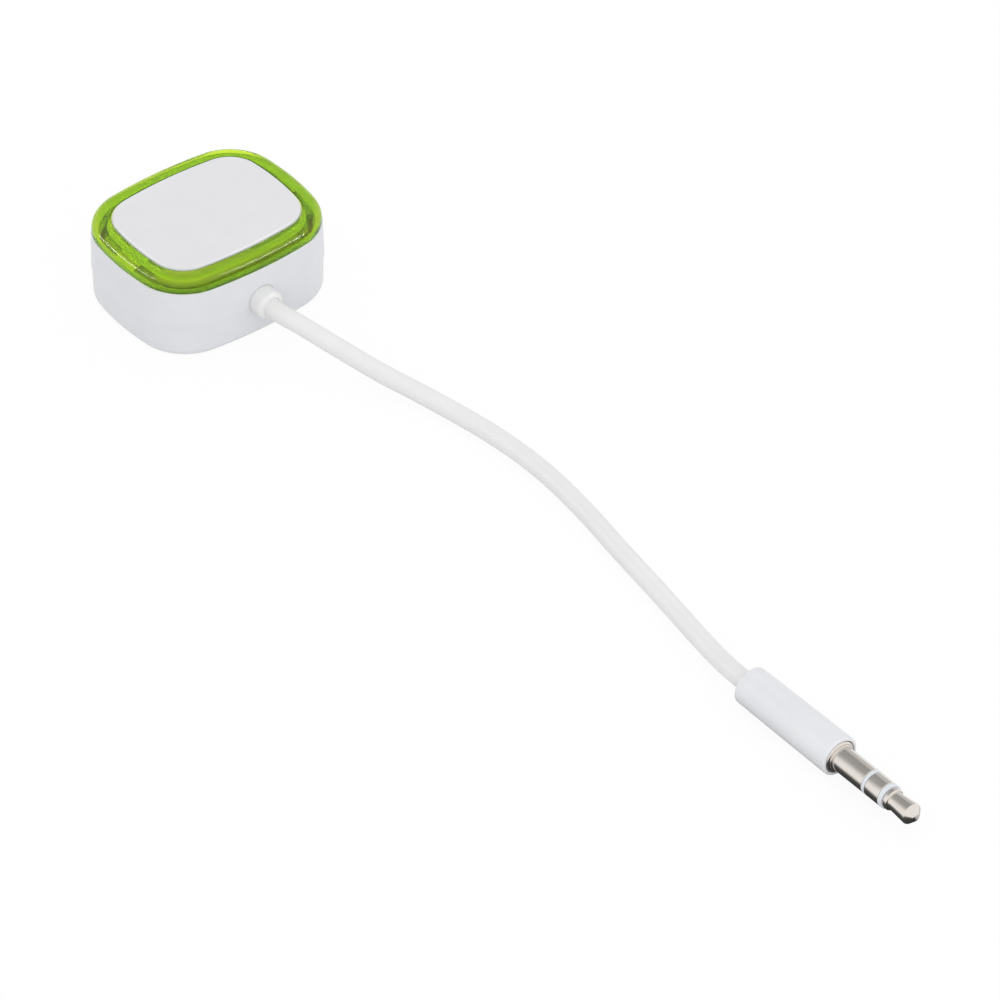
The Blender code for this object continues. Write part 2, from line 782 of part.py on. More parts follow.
def make_socket(case, walls):
    """Charging socket: a folded metal shell, its contact tongue, and the opening in the wall."""
    flat = (math.pi / 2, 0, math.pi)
    place = (0, SOCKET_FRONT, ON_BOARD)
    outer = socket_outline(0)
    inner = socket_outline(-SOCKET_SHEET)
    piece(
        "usb_socket",
        skin(
            [
                (outer, -SOCKET_DEPTH),
                (outer, 0),
                (inner, 0),
                (inner, SOCKET_SHEET - SOCKET_DEPTH),
            ]
        ),
        STEEL,
        case,
        place,
        flat,
    )
    base_y = SOCKET_SHEET + FIT_GAP - SOCKET_DEPTH
    tongue = piece(
        "usb_tongue",
        skin(
            [
                (socket_outline(-SOCKET_SHEET - FIT_GAP), base_y),
                (socket_outline(-SOCKET_SHEET - FIT_GAP), base_y + TONGUE_BASE),
            ]
        ),
        BLACK,
        case,
        place,
        flat,
    )
    blade = cutter(
        "usb_blade",
        block(TONGUE_WIDTH, TONGUE_SHEET, TONGUE_BASE / 2 + TONGUE_LENGTH),
        case,
        (0, SOCKET_FRONT + base_y + TONGUE_BASE / 2, ON_BOARD + SOCKET_HEIGHT / 2),
        flat,
    )
    combine(tongue, blade, "UNION")
    grown = socket_outline(SOCKET_OPENING_GAP)
    opening = cutter(
        "usb_opening",
        skin([(grown, -SOCKET_DEPTH), (grown, 2 * WALL)]),
        case,
        place,
        flat,
    )
    for wall in walls:
        combine(wall, opening, "DIFFERENCE")


def make_cell(case):
    """Cell on its tape between the board posts, and the two leads up to the board."""
    width = 2 * (POST_X - BOARD_POST_RADIUS - CELL_SIDE_GAP)
    front = BOOT_REAR + LEAD_ROOM
    back = BACK - WALL - CELL_BACK_GAP
    length = back - front
    middle = (0, (front + back) / 2, 0)
    piece(
        "battery_cell",
        block(width, length, CELL_THICKNESS, CELL_BOTTOM, CELL_EDGE_ROUND),
        FOIL,
        case,
        middle,
    )
    piece(
        "battery_tape",
        block(width - 2 * TAPE_EDGE, length - 2 * TAPE_EDGE, TAPE_THICKNESS, FLOOR + REST_GAP),
        TAPE_GREY,
        case,
        middle,
    )
    height = CELL_BOTTOM + CELL_THICKNESS / 2
    end_y = NOTCH_Y + 2 * LEAD_RADIUS
    straight = 2 * LEAD_RADIUS
    for name, side, look in (("plus", 1, RED), ("minus", -1, BLACK)):
        x = side * LEAD_SPREAD / 2
        route = [
            (x, front - FIT_GAP, height),
            (x, front - FIT_GAP - straight, height),
            (x, end_y, BOARD_BOTTOM - FIT_GAP - straight),
            (x, end_y, BOARD_BOTTOM - FIT_GAP),
        ]
        cable(f"battery_lead_{name}", route, LEAD_RADIUS, look, straight, case, 1)


def arch(radius, drop):
    """Points of a half round on top of straight sides that run down by drop."""
    turn = math.pi / (TURNED_SIDES // 2)
    points = [
        (radius * math.cos(i * turn), radius * math.sin(i * turn))
        for i in range(TURNED_SIDES // 2 + 1)
    ]
    return [*points, (-radius, -drop), (radius, -drop)]


def make_boot(case, cover, shell):
    """Boot with a flange behind the wall, its hole in both shells, and the leads to the board."""
    along = (math.pi / 2, 0, 0)
    place = (0, FRONT, BOOT_HEIGHT)
    radius = BOOT_DIAMETER / 2
    socket = CORD_DIAMETER / 2 + CORD_FIT
    sections = [
        (BOOT_FLANGE_RADIUS, FRONT - BOOT_REAR),
        (BOOT_FLANGE_RADIUS, FRONT - BOOT_SEAT),
        (radius, FRONT - BOOT_SEAT),
    ]
    edge = min(BOOT_EDGE, (radius - socket) / 2)
    for s, c in quarter():
        sections.append((radius - edge * (1 - c), BOOT_REACH - edge * (1 - s)))
    sections += [(socket, BOOT_REACH), (socket, BOOT_REACH - BOOT_SOCKET)]
    piece("cord_boot", turned(sections), CORD_WHITE, case, place, along)
    hole = radius + FIT_GAP
    round_hole = cutter("boot_hole", turned([(hole, -2 * WALL), (hole, WALL)]), case, place, along)
    combine(cover, round_hole, "DIFFERENCE")
    notch = arch(hole, BOOT_RISE + WALL)
    shell_notch = cutter("boot_notch", skin([(notch, -2 * WALL), (notch, WALL)]), case, place, along)
    combine(shell, shell_notch, "DIFFERENCE")
    room = arch(BOOT_FLANGE_RADIUS + FIT_GAP, BOOT_RISE)
    near = FRONT - BOOT_SEAT + FIT_GAP / 2
    far = FRONT - BOOT_REAR - FIT_GAP
    flange_room = cutter("boot_flange_room", skin([(room, far), (room, near)]), case, place, along)
    combine(shell, flange_room, "DIFFERENCE")
    height = BOARD_TOP + AUDIO_LEAD_LIFT
    straight = 2 * AUDIO_LEAD_RADIUS
    end_y = NOTCH_Y + AUDIO_LEAD_RUN
    for name, side, look in (("left", -1, INSULATOR), ("ground", 0, COPPER), ("right", 1, RED)):
        x = side * AUDIO_LEAD_SPACING
        route = [
            (x, BOOT_REAR + FIT_GAP, height),
            (x, BOOT_REAR + FIT_GAP + straight, height),
            (x, end_y, BOARD_TOP + FIT_GAP + straight),
            (x, end_y, BOARD_TOP + FIT_GAP),
        ]
        cable(f"audio_lead_{name}", route, AUDIO_LEAD_RADIUS, look, straight, case, 1)


def plug_point(along):
    """A point on the plug's axis, a distance in front of the back of the grip."""
    reach_x = along * math.sin(PLUG_YAW)
    reach_y = along * math.cos(PLUG_YAW)
    return PLUG_X + reach_x, PLUG_BACK - reach_y, PLUG_Z


def make_cord():
    """Cord from the boot's socket to the plug's socket, along the route that it lies on."""
    boot_face = FRONT - BOOT_REACH
    lying = CORD_DIAMETER / 2 + FLOOR_GAP
    route = [
        (0, CORD_START, BOOT_HEIGHT),
        (0, boot_face - CORD_DIAMETER / 2, BOOT_HEIGHT),
        *[(x, y, lying + lift) for x, y, lift in CORD_ROUTE],
        plug_point(-CORD_DIAMETER),
        plug_point(GRIP_SOCKET - REST_GAP),
    ]
    cable("audio_cord", route, CORD_DIAMETER / 2, CORD_WHITE, 2 * CORD_DIAMETER)


def make_plug():
    """Stereo plug: a grip, three contacts and two insulators, nested about one axis."""
    axis = empty("plug_axis", plug_point(GRIP_LENGTH), (math.pi / 2, 0, PLUG_YAW))
    pin = PIN_DIAMETER / 2
    shoulder = SHOULDER_RADIUS
    tail = shoulder - TAIL_STEP
    tail_end = -SHOULDER_THICKNESS - TAIL_LENGTH
    rod_end = tail_end - 4 * TUBE_STEP

    back = GRIP_BACK_DIAMETER / 2
    front_edge = min(GRIP_EDGE, GRIP_LIP - REST_GAP)
    socket = CORD_DIAMETER / 2 + CORD_FIT
    sections = [(socket, GRIP_SOCKET - GRIP_LENGTH), (socket, -GRIP_LENGTH)]
    for s, c in quarter():
        sections.append((back - GRIP_EDGE * (1 - s), GRIP_EDGE * (1 - c) - GRIP_LENGTH))
    for s, c in quarter():
        sections.append((GRIP_RADIUS - front_edge * (1 - c), -front_edge * (1 - s)))
    sections += [
        (shoulder + FIT_GAP, 0),
        (shoulder + FIT_GAP, -SHOULDER_THICKNESS - REST_GAP),
        (tail + FIT_GAP, -SHOULDER_THICKNESS - REST_GAP),
        (tail + FIT_GAP, rod_end - FIT_GAP),
    ]
    piece("plug_grip", turned(sections), WHITE, axis)

    front_tube = ROD_RADIUS + TUBE_FIT
    ring_tube = front_tube + TUBE_WALL + TUBE_FIT
    rear_tube = ring_tube + TUBE_WALL + TUBE_FIT
    bore = rear_tube + TUBE_WALL + TUBE_FIT
    rear_start = SLEEVE_LENGTH + REST_GAP
    ring_start = rear_start + REAR_BAND + REST_GAP
    front_start = ring_start + RING_BAND + REST_GAP
    tip_start = front_start + FRONT_BAND + REST_GAP
    sleeve = [
        (bore, tail_end),
        (tail, tail_end),
        (tail, -SHOULDER_THICKNESS),
        (shoulder, -SHOULDER_THICKNESS),
        (shoulder, SHOULDER_STAND - SHOULDER_EDGE),
        (shoulder - SHOULDER_EDGE, SHOULDER_STAND),
        (pin, SHOULDER_STAND),
        (pin, SLEEVE_LENGTH - PIN_EDGE),
        (pin - PIN_EDGE, SLEEVE_LENGTH),
        (bore, SLEEVE_LENGTH),
    ]
    piece("plug_sleeve", turned(sleeve, closed=True), NICKEL, axis)
    nested = [
        ("plug_rear_insulator", rear_tube, rear_start, REAR_BAND, 0, INSULATOR, 1),
        ("plug_ring", ring_tube, ring_start, RING_BAND, PIN_EDGE, NICKEL, 2),
        ("plug_front_insulator", front_tube, front_start, FRONT_BAND, 0, INSULATOR, 3),
    ]
    for name, inner, start, band, edge, look, steps in nested:
        tube_end = tail_end - steps * TUBE_STEP
        outer = inner + TUBE_WALL
        profile = [(inner, tube_end), (outer, tube_end), (outer, start), (pin - edge, start)]
        if edge:
            profile += [(pin, start + edge), (pin, start + band - edge)]
        profile += [(pin - edge, start + band), (inner, start + band)]
        piece(name, turned(profile, closed=True), look, axis)
    flange = TIP_FLANGE_DIAMETER / 2
    flange_end = tip_start + TIP_FLANGE_LENGTH
    tip_end = tip_start + TIP_LENGTH
    tip = [
        (ROD_RADIUS, rod_end),
        (ROD_RADIUS, tip_start),
        (flange - PIN_EDGE, tip_start),
        (flange, tip_start + PIN_EDGE),
        (flange, flange_end - PIN_EDGE),
        (TIP_NECK_DIAMETER / 2, flange_end + TIP_NECK_LENGTH),
        (TIP_HEAD_DIAMETER / 2, tip_end - TIP_CONE_LENGTH),
        (TIP_END_DIAMETER / 2, tip_end),
    ]
    piece("plug_tip", turned(tip), NICKEL, axis)


def main():
    clear_scene()
    case = empty("case")
    cover = make_bottom_cover(case)
    shell = make_upper_shell(case)
    ring = make_light_ring(case)
    make_button_cap(case)
    make_board(case, cover)
    make_components(case)
    make_switch(case)
    make_socket(case, (cover, shell, ring))
    make_cell(case)
    make_boot(case, cover, shell)
    make_cord()
    make_plug()


main()
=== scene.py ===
"""Dressed model of a bluetooth audio receiver, in metres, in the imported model's frame.

The case, the light ring, the press cap, the charging socket, the cord and the plug are modelled
again at a finer grain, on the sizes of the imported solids. The pieces inside the case keep their
solids and get finishes.
"""

import logging
import math
from abc import ABC, abstractmethod
from collections.abc import Sequence
from dataclasses import dataclass
from enum import Enum

import bmesh
import bpy
from mathutils import Matrix, Vector


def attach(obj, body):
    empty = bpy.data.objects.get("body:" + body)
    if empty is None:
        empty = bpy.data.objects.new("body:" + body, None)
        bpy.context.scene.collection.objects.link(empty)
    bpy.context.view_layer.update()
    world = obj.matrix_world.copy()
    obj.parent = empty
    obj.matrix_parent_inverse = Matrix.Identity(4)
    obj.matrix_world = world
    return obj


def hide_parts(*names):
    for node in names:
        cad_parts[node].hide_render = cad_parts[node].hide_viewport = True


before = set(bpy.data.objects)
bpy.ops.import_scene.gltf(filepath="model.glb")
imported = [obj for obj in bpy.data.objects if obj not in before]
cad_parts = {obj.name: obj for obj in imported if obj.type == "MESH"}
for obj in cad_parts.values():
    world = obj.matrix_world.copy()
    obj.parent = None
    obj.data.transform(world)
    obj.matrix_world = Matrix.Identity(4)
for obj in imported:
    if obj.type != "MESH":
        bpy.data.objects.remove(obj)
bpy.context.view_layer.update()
LOG = logging.getLogger("receiver")

Colour = tuple[float, float, float, float]
Stop = tuple[float, Colour]
Triple = tuple[float, float, float]
Mesh = bmesh.types.BMesh
Part = bmesh.types.BMEdge | bmesh.types.BMVert
Piece = bpy.types.Object
Socket = bpy.types.NodeSocket

# Values that the ring's mesh keeps for each face, for its finish to read.
SEATED = "seated"
# Faces along the ring's joints, which its finish paints dark as the shade in the gaps.
JOINT_PAINTED_SHADE = "joint"
# Where most of the noise lies, before it is spread from 0 to 1.
NOISE_RANGE = (0.3, 0.7)
# Points closer than this are one point, and edges sharper than this stay sharp.
MERGE_WITHIN = 1e-7
SHARP_ANGLE = math.radians(38)
# Steps of a small round, along an edge and at a corner of a turned profile.
EDGE_STEPS = 3
CORNER_STEPS = 5
# The two ends or sides of the case, and the turn that brings +Z to its front, -Y.
SIDES = (-1, 1)
TO_FRONT = Matrix.Rotation(math.pi / 2, 4, "X")


class Body(Enum):
    """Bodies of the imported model."""

    CASE = "case"
    CAP = "cap"


class Slot(Enum):
    """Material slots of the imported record, one finish each."""

    CASE_WHITE = "case_white"
    CAP_WHITE = "cap_white"
    RING_LIME = "ring_lime"
    GRIP_WHITE = "grip_white"
    CORD_WHITE = "cord_white"
    NICKEL = "nickel"
    INSULATOR = "insulator"
    STEEL = "steel"
    BOARD_GREEN = "board_green"
    CHIP_BLACK = "chip_black"
    FERRITE = "ferrite"
    CERAMIC = "ceramic"
    CAPACITOR_TAN = "capacitor_tan"
    LAMP = "lamp"
    CELL_FOIL = "cell_foil"
    TAPE_GREY = "tape_grey"
    LEAD_RED = "lead_red"
    LEAD_BLACK = "lead_black"
    COPPER = "copper"


class Join(Enum):
    """Ways to combine two closed meshes."""

    CUT = "DIFFERENCE"
    WELD = "UNION"


class Round(Enum):
    """What a round takes off."""

    EDGES = "EDGES"
    CORNERS = "VERTICES"


class Sum(Enum):
    """Sums that a node does with two values."""

    TIMES = "MULTIPLY"
    MINUS = "SUBTRACT"
    LARGER = "MAXIMUM"
    BELOW = "LESS_THAN"


class Blend(Enum):
    """Ways to blend two colours."""

    COVER = "MIX"
    DARKEN = "MULTIPLY"


class NodeGraph:
    """A node tree, with a short way to add and link nodes."""

    def __init__(self, tree: bpy.types.NodeTree) -> None:
        """Keep the tree."""
        self.tree = tree

    @classmethod
    def blank(cls, owner: bpy.types.ID) -> "NodeGraph":
        """The emptied node tree of a material or a world.

        Args:
            owner: The material or the world.

        Returns:
            Its tree.
        """
        owner.use_nodes = True
        owner.node_tree.nodes.clear()
        return cls(owner.node_tree)

    def add(self, kind: str, inputs: dict | None = None, **settings: object) -> bpy.types.Node:
        """Add a node, set it up and link it.

        Args:
            kind: Blender's name for the type of node.
            inputs: Values or output sockets for the node's inputs, by name or number.
            settings: Properties of the node.

        Returns:
            The new node.
        """
        node = self.tree.nodes.new(kind)
        for name, value in settings.items():
            setattr(node, name, value)
        self.feed(node, inputs or {})
        return node

    def feed(self, node: bpy.types.Node, inputs: dict) -> None:
        """Put values or links on a node's inputs.

        Args:
            node: The node that takes them.
            inputs: Values or output sockets, by the input's name or number.
        """
        for name, value in inputs.items():
            if isinstance(value, Socket):
                self.tree.links.new(value, node.inputs[name])
            else:
                node.inputs[name].default_value = value

    def reckon(
        self, kind: Sum, first: Socket, second: Socket | float, clamp: bool = False
    ) -> Socket:
        """The result of a sum, kept between 0 and 1 if it is clamped."""
        settings = {"operation": kind.value, "use_clamp": clamp}
        return self.add("ShaderNodeMath", {0: first, 1: second}, **settings).outputs[0]

    def spread(self, value: Socket, low: float, high: float) -> Socket:
        """A value stretched so that low to high becomes 0 to 1."""
        inputs = {"Value": value, "From Min": low, "From Max": high}
        return self.add("ShaderNodeMapRange", inputs).outputs["Result"]

    def ramp(self, value: Socket, stops: Sequence[Stop]) -> Socket:
        """A colour that follows a value through stops.

        Args:
            value: The value.
            stops: Values in rising order, each with its colour.

        Returns:
            The colour.
        """
        low, high = stops[0][0], stops[-1][0]
        node = self.add("ShaderNodeValToRGB", {0: self.spread(value, low, high)})
        marks = node.color_ramp.elements
        while len(marks) < len(stops):
            marks.new(1.0)
        for mark, (place, colour) in zip(marks, stops):
            mark.position = (place - low) / (high - low)
            mark.color = colour
        return node.outputs["Color"]


class EffectGroup(NodeGraph):
    """A shader node group that reads a place on the surface and puts out values."""

    def __init__(self, name: str, inputs: Sequence[str], outputs: Sequence[str]) -> None:
        """Make the group and its sockets.

        Args:
            name: Name of the group.
            inputs: Names of the number inputs, next to the place on the surface.
            outputs: Names of the values that the group puts out.
        """
        super().__init__(bpy.data.node_groups.new(name, "ShaderNodeTree"))
        sockets = self.tree.interface
        sockets.new_socket(name="Place", in_out="INPUT", socket_type="NodeSocketVector")
        for label in inputs:
            sockets.new_socket(name=label, in_out="INPUT", socket_type="NodeSocketFloat")
        for label in outputs:
            sockets.new_socket(name=label, in_out="OUTPUT", socket_type="NodeSocketFloat")
        self.given = self.add("NodeGroupInput").outputs
        self.result = self.add("NodeGroupOutput")

    def scaled(self, name: str, factor: float) -> Socket:
        """One of the group's number inputs times a factor."""
        return self.reckon(Sum.TIMES, self.given[name], factor)

    def noise(self, scale: Socket | float, detail: float, place: Socket | None = None) -> Socket:
        """Noise from 0 to 1, at the group's own place if none is given."""
        inputs = {"Vector": place or self.given["Place"], "Scale": scale, "Detail": detail}
        return self.spread(self.add("ShaderNodeTexNoise", inputs).outputs["Fac"], *NOISE_RANGE)

    def finish(self, outputs: dict) -> bpy.types.NodeTree:
        """The group, with its outputs linked."""
        self.feed(self.result, outputs)
        return self.tree


@dataclass
class Effects:
    """Surface effects that several finishes share. Each scale is a share of a finish's fineness."""

    grain_detail: float = 2.0
    gloss_scale: float = 0.15
    gloss_detail: float = 3.0
    tone_scale: float = 0.03
    tone_detail: float = 1.0
    line_detail: float = 3.0
    line_tone_scale: float = 0.06
    line_tone_detail: float = 2.0
    pore: float = 0.25

    def __post_init__(self) -> None:
        """Build each group once."""
        self.grain = self._grain()
        self.drawn = self._drawn()
        self.flecks = self._flecks()

    def _grain(self) -> bpy.types.NodeTree:
        """Grain of a moulded skin: fine height, cloudy gloss and a slow change of tone.

        Returns:
            The group.
        """
        group = EffectGroup("moulded_grain", ["Fineness"], ["Height", "Gloss", "Tone"])
        gloss = group.scaled("Fineness", self.gloss_scale)
        tone = group.scaled("Fineness", self.tone_scale)
        return group.finish(
            {
                "Height": group.noise(group.given["Fineness"], self.grain_detail),
                "Gloss": group.noise(gloss, self.gloss_detail),
                "Tone": group.noise(tone, self.tone_detail),
            }
        )

    def _drawn(self) -> bpy.types.NodeTree:
        """Lines that a tool leaves round a part that is turned about an axis along Y.

        Returns:
            The group.
        """
        group = EffectGroup("turned_lines", ["Pitch"], ["Height", "Tone"])
        parts = group.add("ShaderNodeSeparateXYZ", {0: group.given["Place"]}).outputs
        along = group.reckon(Sum.TIMES, parts["Y"], group.given["Pitch"])
        slow = group.add("ShaderNodeCombineXYZ", {"Y": along}).outputs[0]
        tone = group.scaled("Pitch", self.line_tone_scale)
        return group.finish(
            {
                "Height": group.noise(1.0, self.line_detail, slow),
                "Tone": group.noise(tone, self.line_tone_detail),
            }
        )

    def _flecks(self) -> bpy.types.NodeTree:
        """Cells and pores of a fired or foamed body.

        Returns:
            The group.
        """
        group = EffectGroup("flecks", ["Fineness"], ["Height", "Tone"])
        inputs = {"Vector": group.given["Place"], "Scale": group.given["Fineness"]}
        cells = group.add("ShaderNodeTexVoronoi", inputs)
        pores = group.add("ShaderNodeTexVoronoi", inputs, feature="DISTANCE_TO_EDGE")
        tint = group.add("ShaderNodeSeparateColor", {0: cells.outputs["Color"]})
        height = group.spread(pores.outputs["Distance"], 0.0, self.pore)
        return group.finish({"Height": height, "Tone": tint.outputs[0]})


class SurfaceShader(NodeGraph):
    """A material's nodes: its Principled shader, Object coordinates and the shared effects."""

    def __init__(self, name: str, effects: Effects) -> None:
        """Make the material.

        Args:
            name: Name of the material.
            effects: The shared effects.
        """
        self.material = bpy.data.materials.new(name)
        self.material.use_nodes = True
        super().__init__(self.material.node_tree)
        self.effects = effects
        self.surface = self.tree.nodes["Principled BSDF"]
        self.output = self.tree.nodes["Material Output"]
        self.place = self.add("ShaderNodeTexCoord").outputs["Object"]

    def effect(self, group: bpy.types.NodeTree, **inputs: float) -> bpy.types.NodeOutputs:
        """The outputs of a shared effect, placed with its own number inputs."""
        place = {"Place": self.place, **inputs}
        return self.add("ShaderNodeGroup", place, node_tree=group).outputs

    def on_faces(self, name: str) -> Socket:
        """A value that the mesh keeps for each face."""
        return self.add("ShaderNodeAttribute", attribute_name=name).outputs["Fac"]

    def between(self, low: float, high: float, where: Socket) -> Socket:
        """A number that goes from low to high as a mask goes from 0 to 1."""
        inputs = {"Value": where, "To Min": low, "To Max": high}
        return self.add("ShaderNodeMapRange", inputs).outputs["Result"]

    def mixed(
        self, first: Colour | Socket, second: Colour, where: Socket, blend: Blend = Blend.COVER
    ) -> Socket:
        """A colour that goes from the first to the second as a mask goes from 0 to 1.

        Args:
            first: The first colour, or its socket.
            second: The second colour.
            where: The mask.
            blend: How the second colour is laid on the first.

        Returns:
            The colour.
        """
        mix = self.add("ShaderNodeMix", data_type="RGBA", blend_type=blend.value)
        part, first_colour, second_colour, result = 0, 6, 7, 2
        self.feed(mix, {part: where, first_colour: first, second_colour: second})
        return mix.outputs[result]

    def bump(self, height: Socket, depth: float) -> Socket:
        """A normal from a height mask and its depth in metres."""
        return self.add("ShaderNodeBump", {"Height": height, "Distance": depth}).outputs["Normal"]


class Finish(ABC):
    """A finish that materials are made in."""

    @abstractmethod
    def dress(self, shader: SurfaceShader) -> None:
        """Feed a material's shader."""

    def make(self, name: str, effects: Effects) -> bpy.types.Material:
        """Make a material.

        Args:
            name: Name of the material.
            effects: The shared effects.

        Returns:
            The material.
        """
        shader = SurfaceShader(name, effects)
        self.dress(shader)
        return shader.material


@dataclass(frozen=True)
class TwoToned(Finish):
    """A finish whose tone and roughness vary over a fine relief."""

    colour: Colour
    shade: Colour
    roughness: tuple[float, float]

    def lay(
        self, shader: SurfaceShader, tone: Socket, gloss: Socket, height: Socket, depth: float
    ) -> None:
        """Feed the tone, the roughness and the relief.

        Args:
            shader: The material's nodes.
            tone: Mask from the colour to the shade.
            gloss: Mask from the lower roughness to the higher.
            height: Height of the relief.
            depth: Its depth in metres.
        """
        shader.feed(
            shader.surface,
            {
                "Base Color": shader.mixed(self.colour, self.shade, tone),
                "Roughness": shader.between(*self.roughness, gloss),
                "Normal": shader.bump(height, depth),
            },
        )


@dataclass(frozen=True)
class MouldedPlastic(TwoToned):
    """Moulded plastic or rubber with a fine grain, cloudy gloss and a slow change of tone."""

    fineness: float = 9000.0
    depth: float = 0.000006

    def dress(self, shader: SurfaceShader) -> None:
        """Feed a material's shader."""
        grain = shader.effect(shader.effects.grain, Fineness=self.fineness)
        self.lay(shader, grain["Tone"], grain["Gloss"], grain["Height"], self.depth)


@dataclass(frozen=True)
class PlatedMetal(TwoToned):
    """Plated metal with the lines of its tool and small differences of tone."""

    pitch: float = 9000.0
    depth: float = 0.000001

    def dress(self, shader: SurfaceShader) -> None:
        """Feed a material's shader.

        Args:
            shader: The material's nodes.
        """
        lines = shader.effect(shader.effects.drawn, Pitch=self.pitch)
        self.lay(shader, lines["Tone"], lines["Height"], lines["Height"], self.depth)
        shader.feed(shader.surface, {"Metallic": 1.0})


@dataclass(frozen=True)
class FleckedBody(TwoToned):
    """A fired, pressed or foamed body with cells of two tones."""

    fineness: float
    depth: float
    metallic: float = 0.0

    def dress(self, shader: SurfaceShader) -> None:
        """Feed a material's shader.

        Args:
            shader: The material's nodes.
        """
        flecks = shader.effect(shader.effects.flecks, Fineness=self.fineness)
        self.lay(shader, flecks["Tone"], flecks["Tone"], flecks["Height"], self.depth)
        shader.feed(shader.surface, {"Metallic": self.metallic})


@dataclass(frozen=True)
class ClearPlastic(Finish):
    """Polished see-through plastic: tinted by height and depth, with painted light and shade in its
    tint, frosted where it is seated.
    """

    # Colours by height: the dark at the foot is painted shade, the bright yellow of the shoulder is
    # painted light, the lime is the plastic's own.
    tints_and_painted_light: tuple[Stop, ...]
    leaving: Colour
    seated: Colour
    # Painted shade along the joints: the dark of the gaps to the shell and to the cap.
    joint: Colour
    shade: Colour
    absorbed: Colour
    density: float
    transmission: float
    roughness: tuple[float, float]
    frost: float
    ior: float
    coat: float
    coat_roughness: float
    fineness: float = 2500.0
    depth: float = 0.000002

    def tint(self, shader: SurfaceShader, seated: Socket) -> Socket:
        """The tint: by height where light enters, with painted shade at the foot and painted light
        on the shoulder; even where it leaves; painted shade along the joints.

        Args:
            shader: The material's nodes.
            seated: Mask of the faces that rest on the shell.

        Returns:
            The colour.
        """
        height = shader.add("ShaderNodeSeparateXYZ", {0: shader.place}).outputs["Z"]
        inner = shader.add("ShaderNodeNewGeometry").outputs["Backfacing"]
        # Colour by height, with painted shade at the foot and painted light on the shoulder.
        colour = shader.mixed(shader.ramp(height, self.tints_and_painted_light), self.leaving, inner)
        colour = shader.mixed(colour, self.seated, seated)
        # Outside faces along the joints get painted shade.
        outer = shader.reckon(Sum.MINUS, shader.on_faces(JOINT_PAINTED_SHADE), inner, clamp=True)
        return shader.mixed(colour, self.joint, outer)

    def dress(self, shader: SurfaceShader) -> None:
        """Feed a material's shader.

        Args:
            shader: The material's nodes.
        """
        grain = shader.effect(shader.effects.grain, Fineness=self.fineness)
        tinted = {"Color": self.absorbed, "Density": self.density}
        volume = shader.add("ShaderNodeVolumeAbsorption", tinted)
        shader.feed(shader.output, {"Volume": volume.outputs[0]})
        seated = shader.on_faces(SEATED)
        tint = self.tint(shader, seated)
        polish = shader.between(*self.roughness, grain["Gloss"])
        dull = shader.reckon(Sum.TIMES, seated, self.frost)
        shader.feed(
            shader.surface,
            {
                "Base Color": shader.mixed(tint, self.shade, grain["Tone"], Blend.DARKEN),
                "Transmission Weight": self.transmission,
                "IOR": self.ior,
                "Roughness": shader.reckon(Sum.LARGER, polish, dull),
                "Normal": shader.bump(grain["Height"], self.depth),
                "Coat Weight": self.coat,
                "Coat Roughness": self.coat_roughness,
            },
        )


@dataclass(frozen=True)
class PrintedBoard(Finish):
    """Green solder mask over copper tracks, with bare pads."""

    mask: Colour
    track: Colour
    pad: Colour
    roughness: tuple[float, float] = (0.3, 0.5)
    fineness: float = 6000.0
    pitch: float = 900.0
    track_width: float = 0.04
    stagger: float = 0.33
    pad_size: float = 0.16
    depth: float = 0.00002

    def dress(self, shader: SurfaceShader) -> None:
        """Feed a material's shader.

        Args:
            shader: The material's nodes.
        """
        grain = shader.effect(shader.effects.grain, Fineness=self.fineness)
        grid = {"Vector": shader.place, "Scale": self.pitch}
        holes = shader.add("ShaderNodeTexVoronoi", grid).outputs["Distance"]
        grid.update({"Mortar Size": self.track_width, "Bias": 0.0})
        tracks = shader.add("ShaderNodeTexBrick", grid, offset=self.stagger).outputs["Fac"]
        bare = shader.reckon(Sum.BELOW, holes, self.pad_size)
        covered = shader.mixed(self.mask, self.track, tracks)
        shader.feed(
            shader.surface,
            {
                "Base Color": shader.mixed(covered, self.pad, bare),
                "Metallic": bare,
                "Roughness": shader.between(*self.roughness, grain["Gloss"]),
                "Normal": shader.bump(tracks, self.depth),
            },
        )


